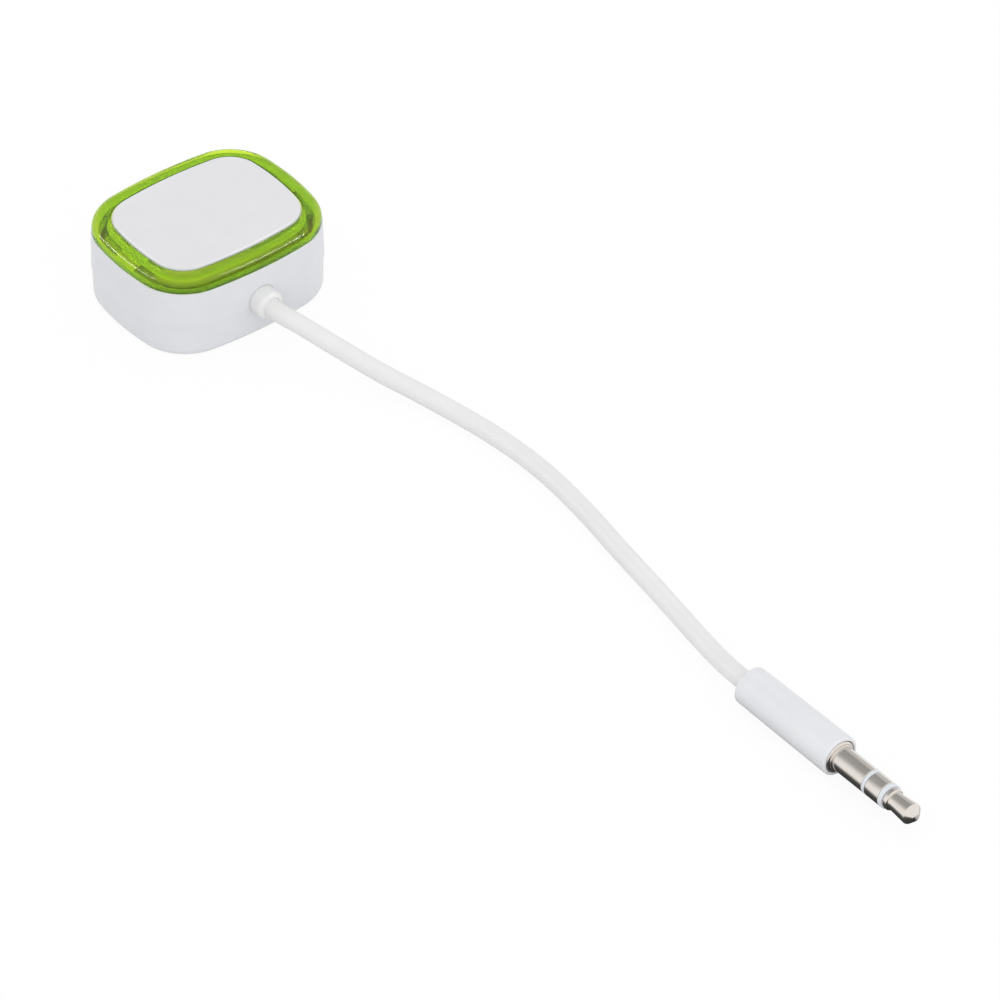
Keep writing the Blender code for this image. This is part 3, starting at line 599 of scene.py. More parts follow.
WHITE_SKIN = (0.30, 0.42)
FINISHES = {
    Slot.CASE_WHITE: MouldedPlastic((0.74, 0.75, 0.775, 1), (0.72, 0.73, 0.755, 1), WHITE_SKIN),
    Slot.CAP_WHITE: MouldedPlastic((0.75, 0.75, 0.775, 1), (0.735, 0.735, 0.76, 1), WHITE_SKIN),
    Slot.GRIP_WHITE: MouldedPlastic((0.785, 0.79, 0.815, 1), (0.765, 0.77, 0.795, 1), WHITE_SKIN),
    Slot.CORD_WHITE: MouldedPlastic(
        (0.81, 0.81, 0.81, 1), (0.79, 0.79, 0.79, 1), (0.42, 0.55), fineness=7000.0, depth=0.00001
    ),
    Slot.RING_LIME: ClearPlastic(
        # The dark at the foot is painted shade and the bright yellow at the shoulder is painted
        # light; the lime is the plastic's own.
        tints_and_painted_light=(
            (0.01102, (0.04, 0.14, 0.03, 1)),
            (0.0115, (0.20, 0.42, 0.04, 1)),
            (0.0120, (0.78, 0.93, 0.08, 1)),
            (0.0126, (1.0, 1.0, 0.16, 1)),
            (0.0129, (0.60, 0.88, 0.02, 1)),
        ),
        leaving=(1.0, 1.0, 0.4, 1),
        seated=(0.70, 0.97, 0.10, 1),
        # Painted shade along the joints.
        joint=(0.02, 0.06, 0.03, 1),
        shade=(0.93, 0.96, 0.9, 1),
        absorbed=(0.886, 0.977, 0.0, 1),
        density=350.0,
        transmission=0.92,
        roughness=(0.03, 0.07),
        frost=0.12,
        ior=1.18,
        coat=0.3,
        coat_roughness=0.12,
    ),
    Slot.NICKEL: PlatedMetal(
        (0.80, 0.755, 0.705, 1), (0.77, 0.725, 0.675, 1), (0.11, 0.16), depth=0.0000003
    ),
    Slot.INSULATOR: MouldedPlastic(
        (0.75, 0.785, 0.83, 1), (0.72, 0.755, 0.81, 1), (0.30, 0.40), fineness=12000.0
    ),
    Slot.STEEL: PlatedMetal((0.56, 0.57, 0.59, 1), (0.48, 0.49, 0.51, 1), (0.22, 0.36)),
    Slot.BOARD_GREEN: PrintedBoard(
        mask=(0.015, 0.15, 0.06, 1), track=(0.03, 0.24, 0.09, 1), pad=(0.80, 0.60, 0.22, 1)
    ),
    Slot.CHIP_BLACK: MouldedPlastic(
        (0.018, 0.018, 0.02, 1),
        (0.026, 0.026, 0.028, 1),
        (0.45, 0.65),
        fineness=14000.0,
        depth=0.000012,
    ),
    Slot.FERRITE: FleckedBody(
        (0.055, 0.055, 0.06, 1), (0.085, 0.085, 0.09, 1), (0.6, 0.8), fineness=9000.0, depth=0.00002
    ),
    Slot.CERAMIC: FleckedBody(
        (0.74, 0.72, 0.64, 1), (0.68, 0.66, 0.58, 1), (0.45, 0.6), fineness=12000.0, depth=0.000006
    ),
    Slot.CAPACITOR_TAN: FleckedBody(
        (0.44, 0.29, 0.15, 1), (0.38, 0.25, 0.12, 1), (0.45, 0.6), fineness=12000.0, depth=0.000006
    ),
    Slot.LAMP: MouldedPlastic(
        (0.85, 0.82, 0.55, 1), (0.80, 0.74, 0.40, 1), (0.15, 0.25), fineness=5000.0
    ),
    Slot.CELL_FOIL: FleckedBody(
        (0.64, 0.65, 0.67, 1),
        (0.58, 0.59, 0.61, 1),
        (0.25, 0.4),
        fineness=1500.0,
        depth=0.00004,
        metallic=0.8,
    ),
    Slot.TAPE_GREY: FleckedBody(
        (0.32, 0.33, 0.34, 1), (0.26, 0.27, 0.28, 1), (0.8, 0.95), fineness=5000.0, depth=0.00006
    ),
    Slot.LEAD_RED: MouldedPlastic((0.55, 0.02, 0.02, 1), (0.47, 0.015, 0.015, 1), (0.4, 0.5)),
    Slot.LEAD_BLACK: MouldedPlastic((0.02, 0.02, 0.02, 1), (0.03, 0.03, 0.032, 1), (0.4, 0.55)),
    Slot.COPPER: PlatedMetal((0.72, 0.38, 0.20, 1), (0.64, 0.31, 0.15, 1), (0.22, 0.4)),
}


class Palette:
    """Every finish as a material, made once."""

    def __init__(self) -> None:
        """Make the materials."""
        effects = Effects()
        self.materials = {slot: look.make(slot.value, effects) for slot, look in FINISHES.items()}

    def paint(self, piece: Piece, slot: Slot) -> None:
        """Give a piece its finish."""
        piece.data.materials.clear()
        piece.data.materials.append(self.materials[slot])


@dataclass(frozen=True)
class Section:
    """A level of a case body: its inset from the outline, its height, and its rounded edge."""

    inset: float
    height: float
    edge: float = 0.0
    segments: int = EDGE_STEPS


@dataclass(frozen=True)
class Turn:
    """A corner of a turned profile: its radius, its place along the axis and its round."""

    radius: float
    along: float
    edge: float = 0.0


@dataclass(frozen=True)
class Station:
    """A place on the case outline: the arc that it is on and its angle."""

    centre: Vector
    radius: float
    angle: float

    def at(self, inset: float, height: float) -> Vector:
        """The point at this station, moved in from the outline and lifted."""
        reach = (self.radius - inset) * Vector((math.cos(self.angle), math.sin(self.angle)))
        return (self.centre + reach).to_3d() + Vector((0, 0, height))


@dataclass(frozen=True)
class CaseOutline:
    """Outline that the shells, the ring and the cap share: bowed sides and round corners."""

    length: float = 0.0303
    width: float = 0.0252
    corner_radius: float = 0.0080
    short_side_radius: float = 0.0390
    long_side_radius: float = 0.0650
    corner_steps: int = 20
    side_steps: int = 14

    def corner_centre(self) -> Vector:
        """Centre of the corner arc in the +X +Y quarter, tangent inside both side arcs.

        Returns:
            The centre.
        """
        short = Vector((self.length / 2 - self.short_side_radius, 0))
        long = Vector((0, self.width / 2 - self.long_side_radius))
        to_short = self.short_side_radius - self.corner_radius
        to_long = self.long_side_radius - self.corner_radius
        span = (long - short).length
        unit = (long - short) / span
        along = (to_short**2 - to_long**2 + span**2) / (2 * span)
        off = math.sqrt(to_short**2 - along**2)
        return short + along * unit + off * Vector((-unit.y, unit.x))

    def stations(self) -> list[Station]:
        """Stations of the outline, anticlockwise from +X.

        Returns:
            The stations, in order.
        """
        corner = self.corner_centre()
        short = self.length / 2 - self.short_side_radius
        long = self.width / 2 - self.long_side_radius
        low = math.atan2(corner.y, corner.x - short)
        high = math.atan2(corner.y - long, corner.x)
        sides, corners, pi = self.side_steps, self.corner_steps, math.pi
        bend = self.corner_radius
        short_bend, long_bend = self.short_side_radius, self.long_side_radius
        arcs = [
            (Vector((short, 0)), short_bend, -low, low, sides),
            (corner, bend, low, high, corners),
            (Vector((0, long)), long_bend, high, pi - high, sides),
            (Vector((-corner.x, corner.y)), bend, pi - high, pi - low, corners),
            (Vector((-short, 0)), short_bend, pi - low, pi + low, sides),
            (-corner, bend, pi + low, pi + high, corners),
            (Vector((0, -long)), long_bend, pi + high, 2 * pi - high, sides),
            (Vector((corner.x, -corner.y)), bend, 2 * pi - high, 2 * pi - low, corners),
        ]
        return [
            Station(centre, radius, start + (end - start) * step / steps)
            for centre, radius, start, end, steps in arcs
            for step in range(steps)
        ]

    def loft(self, sections: Sequence[Section], closed: bool = False) -> Mesh:
        """A body through sections of the outline.

        Args:
            sections: The levels in order. The first one of a closed body has a sharp edge.
            closed: True for a ring, whose last level joins its first, else both ends are faces.

        Returns:
            The mesh.
        """
        bm = bmesh.new()
        number = bm.verts.layers.int.new("station")
        stations = self.stations()
        rim = bmesh.ops.create_circle(bm, segments=len(stations), radius=self.length / 2)["verts"]
        for count, vert in enumerate(rim):
            vert[number] = count
        edges = bm.edges[:]
        rims = []
        for section in [*sections, *sections[:1]] if closed else sections:
            if rims:
                made = bmesh.ops.extrude_edge_only(bm, edges=edges)["geom"]
                rim = [part for part in made if isinstance(part, bmesh.types.BMVert)]
                fresh = set(rim)
                edges = [
                    part
                    for part in made
                    if isinstance(part, bmesh.types.BMEdge) and fresh.issuperset(part.verts)
                ]
            for vert in rim:
                vert.co = stations[vert[number]].at(section.inset, section.height)
            rims.append(edges)
        if closed:
            bmesh.ops.remove_doubles(bm, verts=bm.verts[:], dist=MERGE_WITHIN)
        else:
            for end in (rims[0], rims[-1]):
                bmesh.ops.contextual_create(bm, geom=end)
        bmesh.ops.recalc_face_normals(bm, faces=bm.faces[:])
        for section, edges in zip(sections, rims):
            if section.edge:
                round_off(bm, edges, section.edge, section.segments)
        bm.verts.layers.int.remove(number)
        return bm


def round_off(
    bm: Mesh, parts: Sequence[Part], width: float, segments: int, kind: Round = Round.EDGES
) -> None:
    """Round edges or corners of a mesh.

    Args:
        bm: The mesh.
        parts: The edges or corners to round.
        width: Width of the round.
        segments: Its number of steps.
        kind: Whether they are edges or corners.
    """
    bmesh.ops.bevel(
        bm,
        geom=list(parts),
        offset=width,
        offset_type="OFFSET",
        segments=segments,
        profile=0.5,
        affect=kind.value,
        clamp_overlap=kind is Round.EDGES,
        material=-1,
    )


def turned(profile: Sequence[Turn], closed: bool = False, steps: int = 72) -> Mesh:
    """A body turned about the Z axis.

    Args:
        profile: Corners of the profile. An open one starts and ends on the axis.
        closed: True for a tube, whose profile joins its own start.
        steps: Facets of a full turn.

    Returns:
        The mesh.
    """
    bm = bmesh.new()
    verts = [bm.verts.new((turn.radius, 0, turn.along)) for turn in profile]
    pairs = list(zip(verts, verts[1:]))
    for pair in [*pairs, (verts[-1], verts[0])] if closed else pairs:
        bm.edges.new(pair)
    for vert, turn in zip(verts, profile):
        if turn.edge:
            round_off(bm, [vert], turn.edge, CORNER_STEPS, Round.CORNERS)
    bmesh.ops.spin(
        bm,
        geom=[*bm.verts, *bm.edges],
        cent=(0, 0, 0),
        axis=(0, 0, 1),
        angle=2 * math.pi,
        steps=steps,
        use_merge=True,
        use_duplicate=False,
    )
    bmesh.ops.remove_doubles(bm, verts=bm.verts[:], dist=MERGE_WITHIN)
    bmesh.ops.recalc_face_normals(bm, faces=bm.faces[:])
    return bm


def moved(bm: Mesh, matrix: Matrix) -> Mesh:
    """The mesh, put in its place by a matrix."""
    bmesh.ops.transform(bm, matrix=matrix, verts=bm.verts[:])
    return bm


def block(size: Sequence[float], centre: Sequence[float], edge: float = 0.0) -> Mesh:
    """A block with rounded edges.

    Args:
        size: Its length, width and height.
        centre: Its middle.
        edge: The round of its edges.

    Returns:
        The mesh.
    """
    bm = bmesh.new()
    bmesh.ops.create_cube(bm, size=1.0)
    bmesh.ops.scale(bm, vec=size, verts=bm.verts[:])
    bmesh.ops.translate(bm, vec=centre, verts=bm.verts[:])
    if edge:
        round_off(bm, bm.edges[:], edge, EDGE_STEPS)
    return bm


def linked(name: str, data: bpy.types.ID | Mesh) -> Piece:
    """An object in the scene.

    Args:
        name: Name of the object.
        data: Its data, or a mesh, which is used up.

    Returns:
        The object.
    """
    if isinstance(data, Mesh):
        bm, data = data, bpy.data.meshes.new(name)
        bm.to_mesh(data)
        bm.free()
    made = bpy.data.objects.new(name, data)
    bpy.context.scene.collection.objects.link(made)
    return made


def plane(name: str, size: tuple[float, float], place: Matrix) -> Piece:
    """A flat sheet of one face.

    Args:
        name: Name of the object.
        size: Its length and width.
        place: Its place.

    Returns:
        The object.
    """
    bm = bmesh.new()
    bmesh.ops.create_grid(bm, x_segments=1, y_segments=1, size=0.5)
    bmesh.ops.scale(bm, vec=(*size, 1), verts=bm.verts[:])
    return linked(name, moved(bm, place))


def combined(base: Mesh, tool: Mesh, how: Join) -> Mesh:
    """Cut a closed mesh with another one, or weld the two.

    Args:
        base: The mesh that is worked on. It is used up.
        tool: The other mesh. It is used up.
        how: Whether to cut or to weld.

    Returns:
        The result.
    """
    stock = [linked("stock", bm) for bm in (base, tool)]
    step = stock[0].modifiers.new("join", "BOOLEAN")
    step.operation = how.value
    step.object = stock[1]
    step.solver = "EXACT"
    result = bmesh.new()
    result.from_object(stock[0], bpy.context.evaluated_depsgraph_get())
    for used in stock:
        bpy.data.meshes.remove(used.data)
    return result


def enlist(
    piece: Piece, slot: Slot, palette: Palette, stands_for: str, body: Body = Body.CASE
) -> Piece:
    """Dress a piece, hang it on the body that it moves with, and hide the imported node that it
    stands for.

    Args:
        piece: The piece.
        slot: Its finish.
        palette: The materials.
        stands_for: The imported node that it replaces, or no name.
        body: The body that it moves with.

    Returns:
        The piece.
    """
    palette.paint(piece, slot)
    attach(piece, body.value)
    if stands_for:
        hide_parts(stands_for)
    LOG.info("%s: %s, on the %s", piece.name, slot.value, body.value)
    return piece


def settle(
    bm: Mesh, name: str, slot: Slot, palette: Palette, stands_for: str, body: Body = Body.CASE
) -> Piece:
    """Make a finished piece of a mesh.

    Args:
        bm: The mesh, in its place. It is used up.
        name: Name of the piece.
        slot: Its finish.
        palette: The materials.
        stands_for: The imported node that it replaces, or no name.
        body: The body that it moves with.

    Returns:
        The piece.
    """
    for face in bm.faces:
        face.smooth = True
    for edge in bm.edges:
        edge.smooth = edge.is_manifold and edge.calc_face_angle() < SHARP_ANGLE
    piece = linked(name, bm)
    shading = piece.modifiers.new("even_shading", "WEIGHTED_NORMAL")
    shading.keep_sharp = True
    return enlist(piece, slot, palette, stands_for, body)


@dataclass
class ChargingSocket:
    """The charging socket in the back wall: a folded metal shell, a tongue and its contacts."""

    palette: Palette
    front: float = 0.0123
    base: float = 0.0068
    width: float = 0.0075
    height: float = 0.0025
    depth: float = 0.0052
    sheet: float = 0.0003
    chamfer: float = 0.0008
    opening: float = 0.00025
    fold: float = 0.00025
    fold_steps: int = 4
    lengthwise: float = 0.9
    lip: float = 0.0001
    lip_angle: float = math.radians(50)
    fit: float = 0.0001
    tongue_base: float = 0.0010
    blade: Triple = (0.0038, 0.0035, 0.0006)
    blade_edge: float = 0.0001
    contacts: int = 5
    contact_pitch: float = 0.00065
    contact: Triple = (0.0004, 0.0026, 0.00014)
    contact_edge: float = 0.00004

    def section(self, grow: float, start: float, end: float, fold: float = 0.0) -> Mesh:
        """A bar with the socket's section, narrower at the bottom.

        Args:
            grow: How much larger than the socket it is, on each side.
            start: Where it starts, from the socket's mouth outwards.
            end: Where it ends.
            fold: The round of its long edges.

        Returns:
            The mesh.
        """
        size = (self.width + 2 * grow, end - start, self.height + 2 * grow)
        middle = self.base + self.height / 2
        bm = block(size, (0, self.front + (start + end) / 2, middle))
        lower = [edge for edge in self.long_edges(bm) if edge.verts[0].co.z < middle]
        round_off(bm, lower, self.chamfer, 1)
        if fold:
            round_off(bm, self.long_edges(bm), fold, self.fold_steps)
        return bm

    def long_edges(self, bm: Mesh) -> list[bmesh.types.BMEdge]:
        """The edges of a bar that run along Y."""
        runs = [(edge, edge.verts[1].co - edge.verts[0].co) for edge in bm.edges]
        return [edge for edge, run in runs if abs(run.y) > self.lengthwise * run.length]

    def build(self) -> None:
        """Build the shell, the tongue and its contacts."""
        shell = self.section(0, -self.depth, 0, self.fold)
        hollow = self.section(-self.sheet, self.sheet - self.depth, self.sheet, self.fold)
        shell = combined(shell, hollow, Join.CUT)
        mouth = self.front - self.lip / 2
        rim = [
            edge
            for edge in shell.edges
            if edge.is_manifold
            and edge.calc_face_angle() > self.lip_angle
            and all(vert.co.y > mouth for vert in edge.verts)
        ]
        round_off(shell, rim, self.lip, EDGE_STEPS)
        settle(shell, "socket_shell", Slot.STEEL, self.palette, "usb_socket")
        self.tongue()

    def tongue(self) -> None:
        """The insulating tongue and the contacts that lie on it."""
        back = self.sheet + self.fit - self.depth
        bm = self.section(-self.sheet - self.fit, back, back + self.tongue_base, self.fold)
        _, length, height = self.blade
        start = self.front + back + self.tongue_base / 2
        middle = self.base + self.height / 2
        blade = block(self.blade, (0, start + length / 2, middle), self.blade_edge)
        bm = combined(bm, blade, Join.WELD)
        settle(bm, "socket_tongue", Slot.LEAD_BLACK, self.palette, "usb_tongue")
        _, run, _ = self.contact
        y = start + self.tongue_base / 2 + run / 2
        for count in range(self.contacts):
            x = (count - (self.contacts - 1) / 2) * self.contact_pitch
            strip = block(self.contact, (x, y, middle + height / 2), self.contact_edge)
            settle(strip, f"socket_contact_{count + 1}", Slot.COPPER, self.palette, "")


@dataclass
class Case:
    """The two white shells, with the cord's hole and the charging opening."""

    palette: Palette
    socket: ChargingSocket
    outline: CaseOutline = CaseOutline()
    cover_height: float = 0.0052
    seam: float = 0.0109
    wall: float = 0.0015
    floor: float = 0.0012
    cover_step: float = 0.00011
    cover_draft: float = 0.00013
    base_round: float = 0.0010
    base_steps: int = 8
    tongue: float = 0.0006
    tongue_height: float = 0.0009
    shell_draft: float = 0.00015
    shell_edge: float = 0.00016
    shell_steps: int = 4
    shelf_top: float = 0.00998
    shelf_thickness: float = 0.0006
    shelf_reach: float = 0.0014
    joint_edge: float = 0.00005
    fit: float = 0.0001
    rest: float = 0.00002
    post_place: tuple[float, float] = (0.00965, 0.0039)
    post_radius: float = 0.0014
    post_top: float = 0.0059
    post_steps: int = 32
    screw_hole: float = 0.0008
    screw_hole_base: float = 0.00265
    window_length: float = 0.0044
    key_length: float = 0.0040
    key_reach: float = 0.0023
    boot_height: float = 0.00588
    boot_hole: float = 0.00218
    hole_steps: int = 64
    flange_hole: float = 0.00295
    flange_near: float = -0.010986
    flange_far: float = -0.009836

    def build(self) -> None:
        """Build both shells."""
        self.cover()
        self.shell()

    def across(self, radius: float, start: float, end: float) -> Mesh:
        """A round cutter through the front wall at the cord's height.

        Args:
            radius: Its radius.
            start: The y where it starts.
            end: The y where it ends.

        Returns:
            The mesh.
        """
        bm = bmesh.new()
        size = {"radius1": radius, "radius2": radius, "depth": end - start}
        bmesh.ops.create_cone(bm, cap_ends=True, segments=self.hole_steps, **size)
        return moved(bm, Matrix.Translation((0, (start + end) / 2, self.boot_height)) @ TO_FRONT)

    def cord_hole(self) -> Mesh:
        """A cutter for the boot's hole, which reaches well past the front wall on both sides."""
        front = -self.outline.width / 2
        return self.across(self.boot_hole, front - self.wall, front + 3 * self.wall)

    def cover(self) -> None:
        """The lower shell: floor, wall, joint tongue and board posts."""
        tongue_top = self.cover_height + self.tongue_height
        bm = self.outline.loft(
            [
                Section(self.cover_step + self.cover_draft, 0.0, self.base_round, self.base_steps),
                Section(self.cover_step, self.cover_height, self.joint_edge),
                Section(self.wall - self.tongue, self.cover_height),
                Section(self.wall - self.tongue, tongue_top, self.joint_edge),
                Section(self.wall, tongue_top, self.joint_edge),
                Section(self.wall, self.floor),
            ]
        )
        for x_side in SIDES:
            for y_side in SIDES:
                bm = combined(bm, self.post(x_side, y_side), Join.WELD)
        bm = combined(bm, self.cord_hole(), Join.CUT)
        settle(bm, "case_cover", Slot.CASE_WHITE, self.palette, "bottom_cover")

    def post(self, x_side: int, y_side: int) -> Mesh:
        """A board post, with a screw hole in two of the four.

        Args:
            x_side: Its end of the case.
            y_side: Its side of the case.

        Returns:
            The mesh.
        """
        profile = [
            Turn(0, self.floor / 2),
            Turn(self.post_radius, self.floor / 2),
            Turn(self.post_radius, self.post_top, self.joint_edge),
        ]
        if x_side != y_side:
            profile += [
                Turn(self.screw_hole, self.post_top, self.joint_edge),
                Turn(self.screw_hole, self.screw_hole_base),
            ]
        profile.append(Turn(0, profile[-1].along))
        x, y = self.post_place
        place = Matrix.Translation((x_side * x, y_side * y, 0))
        return moved(turned(profile, steps=self.post_steps), place)

    def shell(self) -> None:
        """The upper shell: wall, joint rebate and the shelf that carries the ring."""
        low = self.cover_height + self.rest
        rebate = self.wall - self.tongue - self.fit
        rebate_top = self.cover_height + self.tongue_height + self.fit
        shelf = self.wall + self.shelf_reach
        shelf_under = self.shelf_top - self.shelf_thickness
        bm = self.outline.loft(
            [
                Section(self.wall, rebate_top),
                Section(rebate, rebate_top),
                Section(rebate, low),
                Section(0, low, self.joint_edge),
                Section(self.shell_draft, self.seam, self.shell_edge, self.shell_steps),
                Section(self.wall, self.seam, self.joint_edge),
                Section(self.wall, self.shelf_top),
                Section(shelf, self.shelf_top, self.joint_edge),
                Section(shelf, shelf_under, self.joint_edge),
                Section(self.wall, shelf_under),
            ],
            closed=True,
        )
        for x_side in SIDES:
            for y_side in SIDES:
                bm = combined(bm, self.lamp_window(x_side, y_side), Join.CUT)
            bm = combined(bm, self.ring_key(x_side), Join.WELD)
        notch = (2 * self.boot_hole, 5 * self.wall, 2 * self.wall)
        for tool in (
            self.cord_hole(),
            block(notch, (0, -self.outline.width / 2, self.boot_height - self.wall)),
            self.across(self.flange_hole, self.flange_near, self.flange_far),
            self.socket.section(self.socket.opening, -self.socket.depth, 2 * self.wall),
        ):
            bm = combined(bm, tool, Join.CUT)
        settle(bm, "case_shell", Slot.CASE_WHITE, self.palette, "upper_shell")

    def lamp_window(self, x_side: int, y_side: int) -> Mesh:
        """A cutter for the window over a lamp, across a corner of the shelf.

        Args:
            x_side: Its end of the case.
            y_side: Its side of the case.

        Returns:
            The mesh.
        """
        size = (2 * self.shelf_reach, self.window_length, 3 * self.shelf_thickness)
        bm = block(size, (0, 0, self.shelf_top - self.shelf_thickness / 2))
        bend = self.outline.corner_radius - self.wall
        reach = math.sqrt(bend**2 - (self.window_length / 2) ** 2) - self.fit - self.shelf_reach
        centre = self.outline.corner_centre()
        x, y = centre.x + reach / math.sqrt(2), centre.y + reach / math.sqrt(2)
        place = Matrix.Translation((x_side * x, y_side * y, 0))
        return moved(bm, place @ Matrix.Rotation(x_side * y_side * math.pi / 4, 4, "Z"))

    def ring_key(self, x_side: int) -> Mesh:
        """A block on a short side that keys the ring to the shell.

        Args:
            x_side: Its end of the case.

        Returns:
            The mesh.
        """
        outer = self.wall / 2
        low, high = self.shelf_top - self.shelf_thickness / 2, self.seam - self.fit
        middle = x_side * (self.outline.length / 2 - (self.key_reach + outer) / 2)
        size = (self.key_reach - outer, self.key_length, high - low)
        return block(size, (middle, 0, (low + high) / 2))


@dataclass
class LightRing:
    """The see-through ring between the case and the press cap."""

    palette: Palette
    outline: CaseOutline = CaseOutline(corner_steps=28, side_steps=18)
    base: float = 0.01094
    top: float = 0.0129
    inset: float = 0.00025
    shoulder: float = 0.0015
    shoulder_steps: int = 14
    bore: float = 0.00289
    bore_edge: float = 0.0001
    lip_under: float = 0.0114
    skirt_inner: float = 0.0023
    skirt_outer: float = 0.0016
    skirt_base: float = 0.01003
    small_edge: float = 0.00005
    joint: float = 0.00012
    key_length: float = 0.0042
    key_outer: float = 0.00075
    key_low: float = 0.00968
    key_high: float = 0.0109
    facing_down: float = -0.5
    facing_out: float = 0.5
    facing_in: float = -0.4

    def build(self) -> None:
        """The ring: a round shoulder outside, a lip over the cap and a skirt inside the shell."""
        bm = self.outline.loft(
            [
                Section(self.skirt_inner, self.lip_under),
                Section(self.skirt_inner, self.skirt_base, self.small_edge),
                Section(self.skirt_outer, self.skirt_base, self.small_edge),
                Section(self.skirt_outer, self.base),
                Section(self.inset, self.base, self.small_edge),
                Section(self.inset, self.base + self.joint),
                Section(self.inset, self.top, self.shoulder, self.shoulder_steps),
                Section(self.bore, self.top, self.bore_edge),
                Section(self.bore, self.top - self.bore_edge - self.joint),
                Section(self.bore, self.lip_under, self.small_edge),
            ],
            closed=True,
        )
        for side in SIDES:
            middle = side * (self.outline.length / 2 - (self.bore + self.key_outer) / 2)
            size = (self.bore - self.key_outer, self.key_length, self.key_high - self.key_low)
            notch = block(size, (middle, 0, (self.key_low + self.key_high) / 2))
            bm = combined(bm, notch, Join.CUT)
        self.mark(bm)
        settle(bm, "ring_lens", Slot.RING_LIME, self.palette, "light_ring")

    def mark(self, bm: Mesh) -> None:
        """Mark the faces that rest on the shell, and those that line the two joints.

        Args:
            bm: The ring's mesh.
        """
        seated = bm.faces.layers.float.new(SEATED)
        # Faces along the joints, which the finish paints dark as the shade in the gaps.
        joint = bm.faces.layers.float.new(JOINT_PAINTED_SHADE)
        foot, rim = self.base + self.joint, self.top - self.bore_edge - self.joint
        for face in bm.faces:
            middle, normal = face.calc_center_median(), face.normal
            outward = normal.xy.dot(middle.xy.normalized())
            face[seated] = float(normal.z < self.facing_down or middle.z < self.base)
            at_foot = outward > self.facing_out and self.base < middle.z < foot
            at_rim = outward < self.facing_in and middle.z > rim
            face[joint] = float(at_foot or at_rim)


@dataclass
class PressCap:
    """The white cap that the thumb presses, with its flange and its post over the switch."""

    palette: Palette
    outline: CaseOutline = CaseOutline()
    top: float = 0.01325
    edge: float = 0.0006
    edge_steps: int = 8
    inset: float = 0.00303
    wall: float = 0.0010
    ceiling: float = 0.01205
    flange_inset: float = 0.00242
    flange_low: float = 0.01038
    flange_high: float = 0.01128
    flange_edge: float = 0.00006
    post_radius: float = 0.0016
    post_low: float = 0.01115
    post_steps: int = 40

    def build(self) -> None:
        """The cap, in one piece with its flange and its post."""
        hollow = self.inset + self.wall
        bm = self.outline.loft(
            [
                Section(hollow, self.ceiling),
                Section(hollow, self.flange_low, self.flange_edge),
                Section(self.flange_inset, self.flange_low, self.flange_edge),
                Section(self.flange_inset, self.flange_high, self.flange_edge),
                Section(self.inset, self.flange_high),
                Section(self.inset, self.top, self.edge, self.edge_steps),
            ]
        )
        post = turned(
            [
                Turn(0, self.post_low),
                Turn(self.post_radius, self.post_low, self.flange_edge),
                Turn(self.post_radius, (self.ceiling + self.top) / 2),
                Turn(0, (self.ceiling + self.top) / 2),
            ],
            steps=self.post_steps,
        )
        bm = combined(bm, post, Join.WELD)
        settle(bm, "press_cap", Slot.CAP_WHITE, self.palette, "button_cap", Body.CAP)


@dataclass(frozen=True)
class PlugAxis:
    """The line that the plug lies on: the back end of its grip, and its turn about Z."""

    back: Triple = (0.0045, -0.1122, 0.002905)
    yaw: float = math.radians(1.0)

    def point(self, along: float) -> Vector:
        """A point on the axis, a distance in front of the back of the grip."""
        return Vector(self.back) + along * Vector((math.sin(self.yaw), -math.cos(self.yaw), 0))

    def matrix(self, along: float) -> Matrix:
        """The place of a piece that is turned about Z, with the pin towards +Z."""
        turn = Matrix.Rotation(self.yaw, 4, "Z") @ TO_FRONT
        return Matrix.Translation(self.point(along)) @ turn


